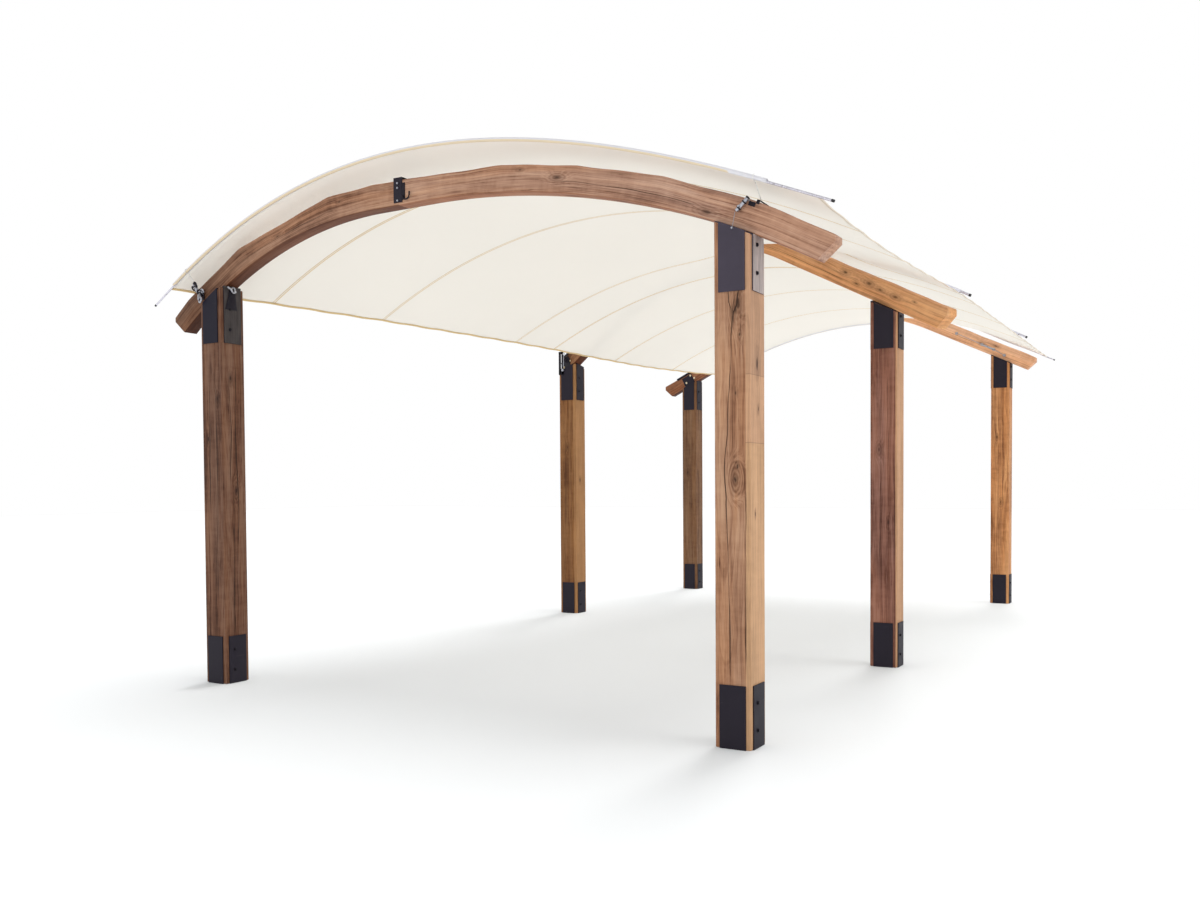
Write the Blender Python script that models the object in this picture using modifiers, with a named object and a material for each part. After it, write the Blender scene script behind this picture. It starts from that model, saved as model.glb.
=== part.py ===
# Wooden pergola: six square posts in steel shoes, three curved timber arches and a stretched sail.
# Metres, +Z up. X runs across the span, with the right-hand row of posts at +X; Y runs away from the front.
# The origin is on the floor, in the middle of the plan.

import math

import bpy
import bmesh
from mathutils import Matrix, Vector

# Fit and steel
GAP = 0.0003
# How far a cutter stands out past what it cuts
PAST = 0.020
STEEL = 0.006
PLATE_INSET = 0.024
PLATE_HEIGHT = 0.300

# Posts: the middle pair is staggered, the right one nearer the front
POST = 0.180
POST_X = 1.775
END_Y = 3.460
MIDDLE_RIGHT_Y = -0.910
MIDDLE_LEFT_Y = 0.730
POST_BEVEL = 0.006
# Heights of the seats on the posts' heads, left and right
FRONT_SEATS = (2.450, 2.430)
MIDDLE_SEATS = (2.380, 2.450)
REAR_SEATS = (2.450, 2.530)

# Arches
BEAM_DEPTH = 0.145
BEAM_WIDTH = 0.100
FRONT_CROWN = 2.815
MIDDLE_CROWN = 3.160
REAR_CROWN = 3.140
LEG_ANGLE = math.radians(26)
# The front arch runs level between these, and falls away on an arc of its own at each side
FRONT_LEVEL = (-0.450, -0.080)
MIDDLE_LEVEL = (0, 0)
REAR_LEVEL = (0, 0)
FRONT_LEFT_REACH = 2.160
FRONT_RIGHT_REACH = 2.255
MIDDLE_RIGHT_REACH = 2.477
MIDDLE_LEFT_REACH = 2.045
REAR_REACH = 2.110
END_PLUMB = 0.045
END_BEVEL = 0.085
# A curved beam meets its flat seat at the seat's two edges, so its middle stands further off
SEAT_REACH = POST / 2 + STEEL + GAP
CURVED_SEAT = 0.0006
SEAT_ROUNDS = 4
ARC_STEPS = 24
# An outline that turns by less than this, in square metres, runs straight on
STRAIGHT = 1e-6
FRONT_SPLICE_X = -0.260
SPLICE_WIDTH = 0.060
SPLICE_STEEL = 0.005
SPLICE_SKIRT = 0.012
CHEEK_RUN = 0.060
CHEEK_BELOW = 0.0055
CHEEK_SHORT = 0.030

# Sail
SAIL_THICKNESS = 0.005
SAIL_END_Y = 3.565
SAIL_RIGHT_X = 2.200
SAIL_RIGHT_Z = 2.450
SAIL_RIGHT_REAR_Z = 2.540
SAIL_RIGHT_RISE_RUN = 0.500
SAIL_RIGHT_LIFT = 0.050
SAIL_RIGHT_RUN = 0.250
SAIL_LEFT_FRONT_X = -2.130
SAIL_LEFT_INNER_X = -1.505
SAIL_LEFT_REAR_X = -1.450
SAIL_LEFT_FRONT_Z = 2.516
SAIL_LEFT_INNER_Z = 2.478
SAIL_LEFT_REAR_Z = 2.565
SAIL_LEFT_RUN = 0.600
SAIL_CROWN_FRONT = 3.082
SAIL_CROWN_MIDDLE = 2.990
SAIL_CROWN_REAR = 3.030
# How far the front hem leans its crown to the left, and how far back that fades
SAIL_SKEW = 0.180
SAIL_SKEW_RUN = 0.350
SAIL_ACROSS = 44
SAIL_ALONG = 56

# The sail is tented over the right-hand legs of the middle and rear arches: rise, place along the arch, run
MIDDLE_RIDGE = (0.165, 1.000, 0.850)
REAR_RIDGE = (0.090, 1.100, 0.800)
RIDGE_FLAT = 0.080
RIDGE_SPREAD = 0.400

# Slots through which the beams pass up through the sail, by their place along each arch
SLOT_CLEARANCE = 0.012
SLOT_LOW = 2.2
SLOT_HIGH = 3.6
MIDDLE_SLOT = (0.520, 1.050)
REAR_SLOT = (0.520, 1.240)

# Battens and eave rods
ROD = 0.009
ROD_TIP_X = 2.270
REAR_TIP_LEFT_X = -1.520
ROD_SEGMENTS = 48
EAVE_ROD_INNER_X = 1.780
EAVE_ROD_Y = (-0.650, 1.770)
EAVE_ROD_LIFT = 0.0018
EAVE_ROD_STEPS = 6

# Straps that hang the sail from the middle and rear arches, by their place along each arch
STRAP_WIDTH = 0.040
STRAP_STEEL = 0.003
STRAP_SEAT = 0.0003
STRAP_SLACK = 0.0008
MIDDLE_STRAPS = {"left": -1.600, "inner": -0.800, "crown": 0.100}
REAR_STRAPS = {"left": -1.370, "inner": -0.750, "crown": 0.100}

# Stand-offs that carry the front batten over the front arch
STANDOFF_X = 1.860
STANDOFF_FOOT = 0.040
STANDOFF_NECK = 0.010

SLOPE_STEP = 0.010

COLLECTION = "wooden_pergola"
CUTTERS = "cutters"


def blend(low, high, t):
    return low + (high - low) * t


def clear_scene():
    for old in list(bpy.data.objects):
        bpy.data.objects.remove(old, do_unlink=True)


def new_collection(name):
    group = bpy.data.collections.new(name)
    bpy.context.scene.collection.children.link(group)
    return group


def material(name, colour, roughness, metallic):
    made = bpy.data.materials.new(name)
    made.use_nodes = True
    shader = made.node_tree.nodes["Principled BSDF"]
    shader.inputs["Base Color"].default_value = (*colour, 1.0)
    shader.inputs["Roughness"].default_value = roughness
    shader.inputs["Metallic"].default_value = metallic
    return made


clear_scene()
PARTS = new_collection(COLLECTION)
HELPERS = new_collection(CUTTERS)
WOOD = material("oiled_chestnut", (0.33, 0.17, 0.08), 0.55, 0.0)
STEEL_PAINT = material("dark_steel", (0.035, 0.03, 0.035), 0.45, 0.3)
CANVAS = material("cream_canvas", (0.86, 0.80, 0.70), 0.85, 0.0)
ROD_STEEL = material("pale_steel", (0.55, 0.55, 0.56), 0.35, 0.9)


def add_mesh(name, work, group, finish=None):
    data = bpy.data.meshes.new(name)
    work.to_mesh(data)
    work.free()
    made = bpy.data.objects.new(name, data)
    group.objects.link(made)
    if finish:
        data.materials.append(finish)
    return made


def as_helper(made):
    made.hide_render = True
    made.display_type = "WIRE"
    return made


def box(name, low, high, group=None, finish=None):
    """An upright box between two corners."""
    work = bmesh.new()
    bmesh.ops.create_cube(work, size=1.0)
    size = Vector(high) - Vector(low)
    middle = (Vector(high) + Vector(low)) / 2
    bmesh.ops.scale(work, vec=size, verts=work.verts)
    bmesh.ops.translate(work, vec=middle, verts=work.verts)
    return add_mesh(name, work, group or PARTS, finish)


def boolean(target, other, operation):
    modifier = target.modifiers.new(operation.lower() + "_" + other.name, "BOOLEAN")
    modifier.object = other
    modifier.operation = operation
    modifier.solver = "EXACT"


def helper_box(name, low, high):
    return as_helper(box(name, low, high, HELPERS))


def lean_top(made, height, slope):
    """Tips the top face of an upright solid: slope is the rise for each metre in X and in Y."""
    centre = Vector((0, 0))
    tops = [vertex for vertex in made.data.vertices if vertex.co.z > height - 1e-4]
    for vertex in tops:
        centre += vertex.co.xy / len(tops)
    for vertex in tops:
        vertex.co.z += slope.dot(vertex.co.xy - centre)


def turning_points(outline):
    """The points at which a flat outline turns, without those on its straight runs."""
    kept = []
    for i, point in enumerate(outline):
        here = Vector(point)
        arriving = here - Vector(outline[i - 1])
        leaving = Vector(outline[(i + 1) % len(outline)]) - here
        if abs(arriving.cross(leaving)) > STRAIGHT:
            kept.append(point)
    return kept


class Arch:
    """A curved beam over two posts, in the upright plane through them.

    Along its own line s = 0 is halfway between the posts and s grows towards the right-hand post.
    """

    def __init__(self, name, ends_y, seats, crown, level, straight_legs, reaches, split):
        self.name = name
        self.left = Vector((-POST_X, ends_y[0]))
        self.right = Vector((POST_X, ends_y[1]))
        self.middle = (self.left + self.right) / 2
        self.along = (self.right - self.left).normalized()
        self.across = Vector((-self.along.y, self.along.x))
        self.half = (self.right - self.left).length / 2
        self.crown = crown
        self.level = level
        self.seats = {-1: seats[0], 1: seats[1]}
        self.left_reach, self.right_reach = reaches
        self.split = split
        fit = self.fit_leg if straight_legs else self.fit_arc
        self.sides = {-1: fit(self.half + level[0], seats[0]), 1: fit(self.half - level[1], seats[1])}

    def fit_leg(self, run, seat):
        """(radius, start of the straight leg) of a side that ends in a straight leg on its seat."""
        rise = self.crown - seat - GAP
        curve = math.sin(LEG_ANGLE) * math.tan(LEG_ANGLE) - 1 + math.cos(LEG_ANGLE)
        radius = (run * math.tan(LEG_ANGLE) - rise) / curve
        return radius, radius * math.sin(LEG_ANGLE)

    def fit_arc(self, run, seat):
        """(radius, no leg) of a side that is one arc down to its seat and past it."""
        stand_off = CURVED_SEAT
        for _ in range(SEAT_ROUNDS):
            rise = self.crown - seat - stand_off
            radius = (run**2 + rise**2) / (2 * rise)
            bow = radius**2 / (radius**2 - run**2) ** 1.5
            stand_off = CURVED_SEAT + bow * SEAT_REACH**2 / 2
        return radius, 2 * run

    def side_at(self, s):
        """(side, run along it, radius, start of the leg) at s; the run is 0 on the level part."""
        side = -1 if s < self.level[0] else 1
        run = max(0, self.level[0] - s if side < 0 else s - self.level[1])
        return side, run, *self.sides[side]

    def tilt(self, s):
        """The angle of the beam at s, falling towards the right."""
        side, run, radius, leg_start = self.side_at(s)
        return side * (LEG_ANGLE if run > leg_start else math.asin(run / radius))

    def bottom(self, s):
        """Height of the beam's underside at s."""
        _, run, radius, leg_start = self.side_at(s)
        if run <= leg_start:
            return self.crown - radius + math.sqrt(radius**2 - run**2)
        fall = self.crown - radius * (1 - math.cos(LEG_ANGLE))
        return fall - (run - leg_start) * math.tan(LEG_ANGLE)

    def point(self, s, above=0.0):
        """(s, z) of the point at a distance above the underside, square to it."""
        angle = self.tilt(s)
        return s + above * math.sin(angle), self.bottom(s) + above * math.cos(angle)

    def place(self, s, z, side=0.0):
        """World position of a point in the arch's plane, or beside it."""
        plan = self.middle + self.along * s + self.across * side
        return Vector((plan.x, plan.y, z))

    def matrix(self):
        """From (s, z, side) of a flat outline to the world."""
        origin = Matrix.Translation((self.middle.x, self.middle.y, 0))
        turn = Matrix.Rotation(math.atan2(self.along.y, self.along.x), 4, "Z")
        stand = Matrix.Rotation(math.pi / 2, 4, "X")
        return origin @ turn @ stand

    def slope_vector(self, s):
        return self.along * -math.tan(self.tilt(s))

    def over_at(self, reach):
        """The s whose point on the beam's upper side lies at this reach."""
        s = reach
        for _ in range(20):
            s = reach - BEAM_DEPTH * math.sin(self.tilt(s))
        return s

    def over_height(self, reach, above=0.0):
        """Height over the beam's upper side at this reach."""
        return self.point(self.over_at(reach), BEAM_DEPTH)[1] + above

    def half_outline(self, side, reach):
        """Flat outline of one length of beam, from the joint to its plumb, bevelled tail."""
        start = self.split + side * GAP / 2
        end = side * reach
        under_end = end - side * END_BEVEL
        under = [self.point(blend(start, under_end, i / ARC_STEPS)) for i in range(ARC_STEPS + 1)]
        over_end = self.over_at(end)
        over = [self.point(blend(start, over_end, i / ARC_STEPS), BEAM_DEPTH) for i in range(ARC_STEPS + 1)]
        over[0] = (start, over[0][1])
        plumb = (end, over[-1][1] - END_PLUMB)
        return under + [plumb] + over[::-1]

    def beam(self, name, outline, width=BEAM_WIDTH, group=None, finish=None):
        """A flat outline made a solid of the beam's width, standing in the arch's plane."""
        outline = turning_points(outline)
        curve = bpy.data.curves.new(name, "CURVE")
        curve.dimensions = "2D"
        curve.fill_mode = "BOTH"
        curve.extrude = width / 2
        spline = curve.splines.new("POLY")
        spline.points.add(len(outline) - 1)
        for point, (s, z) in zip(spline.points, outline):
            point.co = (s, z, 0.0, 1.0)
        spline.use_cyclic_u = True
        made = bpy.data.objects.new(name, curve)
        (group or PARTS).objects.link(made)
        made.matrix_world = self.matrix()
        if finish:
            curve.materials.append(finish)
        return made

    def build(self):
        self.beam(self.name + "_left", self.half_outline(-1, self.left_reach), finish=WOOD)
        self.beam(self.name + "_right", self.half_outline(1, self.right_reach), finish=WOOD)

    def splice(self):
        """A steel strap over the joint of the two lengths of beam, down both their sides."""
        lower = GAP + SPLICE_STEEL
        steps = [self.split + SPLICE_WIDTH * (i / 4 - 0.5) for i in range(5)]
        skirt = [self.point(s, SPLICE_SKIRT) for s in steps]
        skirt += [self.point(s, BEAM_DEPTH + lower) for s in reversed(steps)]
        past = [steps[0] - PAST, *steps[1:-1], steps[-1] + PAST]
        cut = [self.point(s, -PAST) for s in past]
        cut += [self.point(s, BEAM_DEPTH + GAP) for s in reversed(past)]
        strap = to_mesh(self.beam(self.name + "_splice", skirt, BEAM_WIDTH + 2 * lower, finish=STEEL_PAINT))
        inner = self.beam(self.name + "_splice_inner", cut, BEAM_WIDTH + 2 * GAP, HELPERS)
        boolean(strap, as_helper(to_mesh(inner)), "DIFFERENCE")


def to_mesh(made):
    """A curve object made a closed mesh object, with its place in its matrix."""
    graph = bpy.context.evaluated_depsgraph_get()
    data = bpy.data.meshes.new_from_object(made.evaluated_get(graph))
    work = bmesh.new()
    work.from_mesh(data)
    bmesh.ops.remove_doubles(work, verts=work.verts, dist=1e-5)
    bmesh.ops.recalc_face_normals(work, faces=work.faces)
    work.to_mesh(data)
    work.free()
    name = made.name
    place = made.matrix_world.copy()
    group = made.users_collection[0]
    bpy.data.objects.remove(made)
    fresh = bpy.data.objects.new(name, data)
    group.objects.link(fresh)
    fresh.matrix_world = place
    return fresh


FRONT = Arch(
    "front_arch",
    (-END_Y, -END_Y),
    FRONT_SEATS,
    FRONT_CROWN,
    FRONT_LEVEL,
    False,
    (FRONT_LEFT_REACH, FRONT_RIGHT_REACH),
    FRONT_SPLICE_X,
)
MIDDLE = Arch(
    "middle_arch",
    (MIDDLE_LEFT_Y, MIDDLE_RIGHT_Y),
    MIDDLE_SEATS,
    MIDDLE_CROWN,
    MIDDLE_LEVEL,
    True,
    (MIDDLE_LEFT_REACH, MIDDLE_RIGHT_REACH),
    0.0,
)
REAR = Arch(
    "rear_arch",
    (END_Y, END_Y),
    REAR_SEATS,
    REAR_CROWN,
    REAR_LEVEL,
    True,
    (REAR_REACH, REAR_REACH),
    0.0,
)
ARCHES = (FRONT, MIDDLE, REAR)


def plus_prism(name, centre, low, high, reach, half_width, group=None, finish=None):
    """A cross-shaped prism: a square core whose four sides are drawn out to the reach."""
    work = bmesh.new()
    bmesh.ops.create_cube(work, size=1.0)
    bmesh.ops.scale(work, vec=(2 * half_width, 2 * half_width, high - low), verts=work.verts)
    sides = [face for face in work.faces if abs(face.normal.z) < 0.5]
    for face in sides:
        outward = face.normal.copy()
        arm = bmesh.ops.extrude_discrete_faces(work, faces=[face])["faces"][0]
        bmesh.ops.translate(work, vec=outward * (reach - half_width), verts=arm.verts)
    bmesh.ops.translate(work, vec=(*centre, (low + high) / 2), verts=work.verts)
    return add_mesh(name, work, group or PARTS, finish)


def post_set(label, arch, side, cheek_side):
    """One post with its foot shoe and its head bracket. side is -1 on the left and 1 on the right."""
    centre = arch.right if side > 0 else arch.left
    x, y = centre
    half = POST / 2
    reach = half + STEEL + GAP
    arm = half - PLATE_INSET
    slope = arch.slope_vector(side * arch.half)
    seat = arch.seats[side]
    wood_top = seat - STEEL - GAP

    post = box("post_" + label, (x - half, y - half, 0), (x + half, y + half, wood_top), finish=WOOD)
    lean_top(post, wood_top, slope)
    bevel = post.modifiers.new("eased_edges", "BEVEL")
    bevel.width = POST_BEVEL
    bevel.segments = 2
    bevel.limit_method = "ANGLE"
    bevel.angle_limit = math.radians(30)
    recess = plus_prism("foot_recess_" + label, centre, -PAST, STEEL + GAP, half + PAST, arm + GAP, HELPERS)
    boolean(post, as_helper(recess), "DIFFERENCE")

    inner = half + GAP
    shoe = plus_prism("foot_shoe_" + label, centre, 0, PLATE_HEIGHT, reach, arm, finish=STEEL_PAINT)
    hollow = helper_box("shoe_hollow_" + label, (x - inner, y - inner, STEEL), (x + inner, y + inner, 1))
    boolean(shoe, hollow, "DIFFERENCE")

    low = seat - PLATE_HEIGHT
    head = plus_prism("head_bracket_" + label, centre, low, seat, reach, arm, finish=STEEL_PAINT)
    lean_top(head, seat, slope)
    top = seat - STEEL
    hollow = helper_box("head_hollow_" + label, (x - inner, y - inner, 1), (x + inner, y + inner, top))
    lean_top(hollow, top, slope)
    boolean(head, hollow, "DIFFERENCE")
    boolean(head, cheek(label, arch, side, cheek_side), "UNION")


def cheek(label, arch, side, cheek_side):
    """The upright steel plate that holds the beam's side, rising from the head bracket's top."""
    s = side * arch.half
    steps = (s - CHEEK_RUN, s, s + CHEEK_RUN)
    outline = [arch.point(step, -CHEEK_BELOW) for step in steps]
    outline += [arch.point(step, BEAM_DEPTH - CHEEK_SHORT) for step in reversed(steps)]
    plate = to_mesh(arch.beam("cheek_" + label, outline, STEEL, HELPERS))
    shift = cheek_side * (BEAM_WIDTH / 2 + GAP + STEEL / 2)
    plate.matrix_world = Matrix.Translation(arch.across.to_3d() * shift) @ plate.matrix_world
    return as_helper(plate)


def way_back(y):
    """0 at the sail's front hem and 1 at its rear one."""
    return (y + SAIL_END_Y) / (2 * SAIL_END_Y)


def sail_crown(y):
    """Height of the sail's crown: highest at the front, lowest about halfway back."""
    t = way_back(y)
    front = SAIL_CROWN_FRONT * (1 - t) * (1 - 2 * t)
    middle = SAIL_CROWN_MIDDLE * 4 * t * (1 - t)
    return front + middle + SAIL_CROWN_REAR * t * (2 * t - 1)


def sail_left(y):
    """(x, z) of the sail's left hem, which runs from outside the front post to inside the rear ones."""
    t = way_back(y)
    inward = 1 - (1 - min(t / SAIL_LEFT_RUN, 1)) ** 2
    rearward = max(0, (t - SAIL_LEFT_RUN) / (1 - SAIL_LEFT_RUN)) ** 2
    x = blend(SAIL_LEFT_FRONT_X, SAIL_LEFT_INNER_X, inward)
    z = blend(SAIL_LEFT_FRONT_Z, SAIL_LEFT_INNER_Z, inward)
    return blend(x, SAIL_LEFT_REAR_X, rearward), blend(z, SAIL_LEFT_REAR_Z, rearward)


def sail_right(y):
    """Height of the sail's right hem: lowest a little behind its front corner, level further back."""
    t = way_back(y)
    frontward = 1 - min(t / SAIL_RIGHT_RUN, 1)
    rearward = min(t / SAIL_RIGHT_RISE_RUN, 1)
    eased = rearward**2 * (3 - 2 * rearward)
    return blend(SAIL_RIGHT_Z, SAIL_RIGHT_REAR_Z, eased) + SAIL_RIGHT_LIFT * frontward**2


def ridge(x, y, arch, rise, crest, run):
    """How far the sail is tented over a beam's right-hand leg."""
    place = Vector((x, y)) - arch.middle
    s = min(abs(place.dot(arch.along) - crest) / run, 1)
    aside = min(max(0, abs(place.dot(arch.across)) - RIDGE_FLAT) / RIDGE_SPREAD, 1)
    return rise * (1 - s**2) ** 2 * (1 - aside) ** 2


def sail_height(x, y):
    """Height of the sail's middle surface over a point of the plan."""
    left_x, left_z = sail_left(y)
    u = (x - left_x) / (SAIL_RIGHT_X - left_x)
    right_z = sail_right(y)
    skew = SAIL_SKEW * max(0, 1 - way_back(y) / SAIL_SKEW_RUN) ** 2
    bulge = 4 * u * (1 - u) * (1 + skew * (1 - 2 * u))
    smooth = blend(left_z, right_z, u) + (sail_crown(y) - (left_z + right_z) / 2) * bulge
    return smooth + ridge(x, y, MIDDLE, *MIDDLE_RIDGE) + ridge(x, y, REAR, *REAR_RIDGE)


def sail_top(x, y):
    """Height of the sail's upper face over a point of the plan."""
    grade_x = (sail_height(x + SLOPE_STEP, y) - sail_height(x - SLOPE_STEP, y)) / (2 * SLOPE_STEP)
    grade_y = (sail_height(x, y + SLOPE_STEP) - sail_height(x, y - SLOPE_STEP)) / (2 * SLOPE_STEP)
    return sail_height(x, y) + SAIL_THICKNESS / 2 * math.hypot(1, grade_x, grade_y)


def slot_cutter(arch, span):
    """The upright slot through the sail where a beam passes up through it."""
    low = [(span[0], SLOT_LOW), (span[1], SLOT_LOW)]
    high = [(span[1], SLOT_HIGH), (span[0], SLOT_HIGH)]
    cutter = arch.beam("slot_" + arch.name, low + high, BEAM_WIDTH + 2 * SLOT_CLEARANCE, HELPERS)
    return as_helper(to_mesh(cutter))


def build_sail():
    work = bmesh.new()
    bmesh.ops.create_grid(work, x_segments=SAIL_ACROSS, y_segments=SAIL_ALONG, size=0.5)
    for vertex in work.verts:
        y = vertex.co.y * 2 * SAIL_END_Y
        left_x = sail_left(y)[0]
        x = blend(left_x, SAIL_RIGHT_X, vertex.co.x + 0.5)
        vertex.co = (x, y, sail_height(x, y))
    sail = add_mesh("sail", work, PARTS, CANVAS)
    thick = sail.modifiers.new("cloth", "SOLIDIFY")
    thick.thickness = SAIL_THICKNESS
    thick.offset = 0
    boolean(sail, slot_cutter(MIDDLE, MIDDLE_SLOT), "DIFFERENCE")
    boolean(sail, slot_cutter(REAR, REAR_SLOT), "DIFFERENCE")


def tube(name, points, radius, finish):
    curve = bpy.data.curves.new(name, "CURVE")
    curve.dimensions = "3D"
    curve.bevel_depth = radius
    curve.bevel_resolution = 2
    curve.use_fill_caps = True
    spline = curve.splines.new("POLY")
    spline.points.add(len(points) - 1)
    for point, place in zip(spline.points, points):
        point.co = (*place, 1.0)
    made = bpy.data.objects.new(name, curve)
    PARTS.objects.link(made)
    curve.materials.append(finish)
    return made


def end_batten(name, side, left_tip):
    """The curved tube in the sail's front or rear hem, just outside the cloth's edge."""
    y = side * (SAIL_END_Y + ROD + GAP)
    inside = side * SAIL_END_Y
    points = []
    for i in range(ROD_SEGMENTS + 1):
        x = blend(left_tip, ROD_TIP_X, i / ROD_SEGMENTS)
        points.append((x, y, sail_height(x, inside)))
    tube(name, points, ROD, ROD_STEEL)


def eave_rod(name, y):
    """A short rod on the sail at the right-hand eave, its tip standing out past the hem."""
    points = []
    for i in range(EAVE_ROD_STEPS + 1):
        x = blend(EAVE_ROD_INNER_X, ROD_TIP_X, i / EAVE_ROD_STEPS)
        points.append((x, y, sail_top(x, y) + ROD + EAVE_ROD_LIFT))
    tube(name, points, ROD, ROD_STEEL)


def strap(arch, label, s):
    """A steel band round the beam whose lower side lies on the sail: a ring in the arch's own plane."""
    half_run = STRAP_WIDTH / 2
    ends = (s - half_run, s + half_run)
    inner_side = BEAM_WIDTH / 2 + GAP
    outer_side = inner_side + STRAP_STEEL
    low = []
    for end in ends:
        place = arch.place(end, 0)
        edges = [place + arch.across.to_3d() * side for side in (-outer_side, 0, outer_side)]
        low.append(max(sail_top(edge.x, edge.y) for edge in edges) + STRAP_SEAT)
    top = [arch.over_height(end, STRAP_SLACK + STRAP_STEEL) for end in ends]
    outer = [(ends[0], low[0]), (ends[1], low[1]), (ends[1], top[1]), (ends[0], top[0])]
    past = (ends[0] - half_run, ends[1] + half_run)
    grade_low = (low[1] - low[0]) / STRAP_WIDTH
    sole = [low[i] + STRAP_STEEL + grade_low * (past[i] - ends[i]) for i in (0, 1)]
    crest = [arch.over_height(end, STRAP_SLACK) for end in past]
    hollow = [(past[0], sole[0]), (past[1], sole[1]), (past[1], crest[1]), (past[0], crest[0])]
    name = arch.name.replace("arch", "strap_" + label)
    ring = to_mesh(arch.beam(name, outer, 2 * outer_side, finish=STEEL_PAINT))
    inside = arch.beam(name + "_hollow", hollow, 2 * inner_side, HELPERS)
    boolean(ring, as_helper(to_mesh(inside)), "DIFFERENCE")


def standoff(label, side):
    """An upright plate on the front arch that reaches forward and up to the front batten."""
    x = side * STANDOFF_X
    s = FRONT.over_at(x)
    tilt = abs(FRONT.tilt(s))
    half = STEEL / 2
    foot = FRONT.point(s, BEAM_DEPTH)[1] + half * math.tan(tilt) + GAP
    past = sail_height(x + SLOPE_STEP, -SAIL_END_Y)
    grade = (past - sail_height(x - SLOPE_STEP, -SAIL_END_Y)) / (2 * SLOPE_STEP)
    below = ROD * math.hypot(1, grade) + half * abs(grade) + 3 * GAP
    head = sail_height(x, -SAIL_END_Y) - below
    batten_y = -(SAIL_END_Y + ROD + GAP)
    outline = [
        (-END_Y - STANDOFF_FOOT, foot),
        (-END_Y + STANDOFF_FOOT, foot),
        (-END_Y + STANDOFF_FOOT, foot + STANDOFF_NECK),
        (batten_y + STANDOFF_NECK, head),
        (batten_y - STANDOFF_NECK, head),
        (batten_y - STANDOFF_NECK, head - STANDOFF_NECK),
    ]
    curve = bpy.data.curves.new("front_standoff_" + label, "CURVE")
    curve.dimensions = "2D"
    curve.fill_mode = "BOTH"
    curve.extrude = half
    spline = curve.splines.new("POLY")
    spline.points.add(len(outline) - 1)
    for point, (y, z) in zip(spline.points, outline):
        point.co = (y, z, 0.0, 1.0)
    spline.use_cyclic_u = True
    made = bpy.data.objects.new("front_standoff_" + label, curve)
    PARTS.objects.link(made)
    curve.materials.append(STEEL_PAINT)
    stand = Matrix.Rotation(math.pi / 2, 4, "Z") @ Matrix.Rotation(math.pi / 2, 4, "X")
    made.matrix_world = Matrix.Translation((x, 0, 0)) @ stand


def build_posts():
    post_set("front_right", FRONT, 1, 1)
    post_set("middle_right", MIDDLE, 1, 1)
    post_set("rear_right", REAR, 1, 1)
    post_set("front_left", FRONT, -1, 1)
    post_set("middle_left", MIDDLE, -1, -1)
    post_set("rear_left", REAR, -1, -1)


def build_arches():
    for arch in ARCHES:
        arch.build()
        arch.splice()


def build_rods():
    end_batten("front_batten", -1, -ROD_TIP_X)
    end_batten("rear_batten", 1, REAR_TIP_LEFT_X)
    for number, y in enumerate(EAVE_ROD_Y, 1):
        eave_rod("eave_rod_%d" % number, y)


def build_hangers():
    for label, s in MIDDLE_STRAPS.items():
        strap(MIDDLE, label, s)
    for label, s in REAR_STRAPS.items():
        strap(REAR, label, s)
    standoff("left", -1)
    standoff("right", 1)


build_posts()
build_arches()
build_sail()
build_rods()
build_hangers()
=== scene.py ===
import math

import bmesh
import bpy
from bpy.props import FloatProperty, FloatVectorProperty, IntProperty, PointerProperty
from mathutils import Matrix, Vector


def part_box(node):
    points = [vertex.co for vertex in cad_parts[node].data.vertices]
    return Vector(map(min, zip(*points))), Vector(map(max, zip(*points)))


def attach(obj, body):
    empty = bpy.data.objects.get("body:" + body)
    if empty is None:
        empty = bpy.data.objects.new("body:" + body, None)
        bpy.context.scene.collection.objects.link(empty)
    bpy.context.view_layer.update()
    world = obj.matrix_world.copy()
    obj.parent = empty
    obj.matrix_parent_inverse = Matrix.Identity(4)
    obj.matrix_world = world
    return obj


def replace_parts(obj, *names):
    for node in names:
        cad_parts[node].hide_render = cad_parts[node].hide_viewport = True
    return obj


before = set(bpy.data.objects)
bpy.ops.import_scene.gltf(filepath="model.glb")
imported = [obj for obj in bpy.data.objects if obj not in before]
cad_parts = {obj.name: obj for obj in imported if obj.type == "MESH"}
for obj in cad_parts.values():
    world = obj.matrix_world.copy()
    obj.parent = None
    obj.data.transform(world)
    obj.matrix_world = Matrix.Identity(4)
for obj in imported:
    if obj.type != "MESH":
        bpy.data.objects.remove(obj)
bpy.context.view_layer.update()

bl_info = {
    "name": "Wooden Pergola",
    "version": (1, 0, 0),
    "blender": (4, 5, 0),
    "location": "View3D > Sidebar > Pergola",
    "description": "Dresses a timber pergola with a fabric sail: wood, steelwork, cloth and stage",
    "category": "Add Mesh",
}

# Corners of the plan, as the post nodes are named
PLACES = ("front_right", "middle_right", "rear_right", "front_left", "middle_left", "rear_left")

# Timber and plates, in metres: the same driving sizes as the solids
POST = 0.180
PLATE = 0.006
GAP = 0.0003
PLATE_FACE = POST / 2 + PLATE + GAP
BEAM_DEPTH = 0.145
BEAM_WIDTH = 0.100
BEAM_FACE = BEAM_WIDTH / 2
LEG_ANGLE = math.radians(26)
CURVED_SEAT = 0.0006
END_PLUMB = 0.045
END_BEVEL = 0.085
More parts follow.
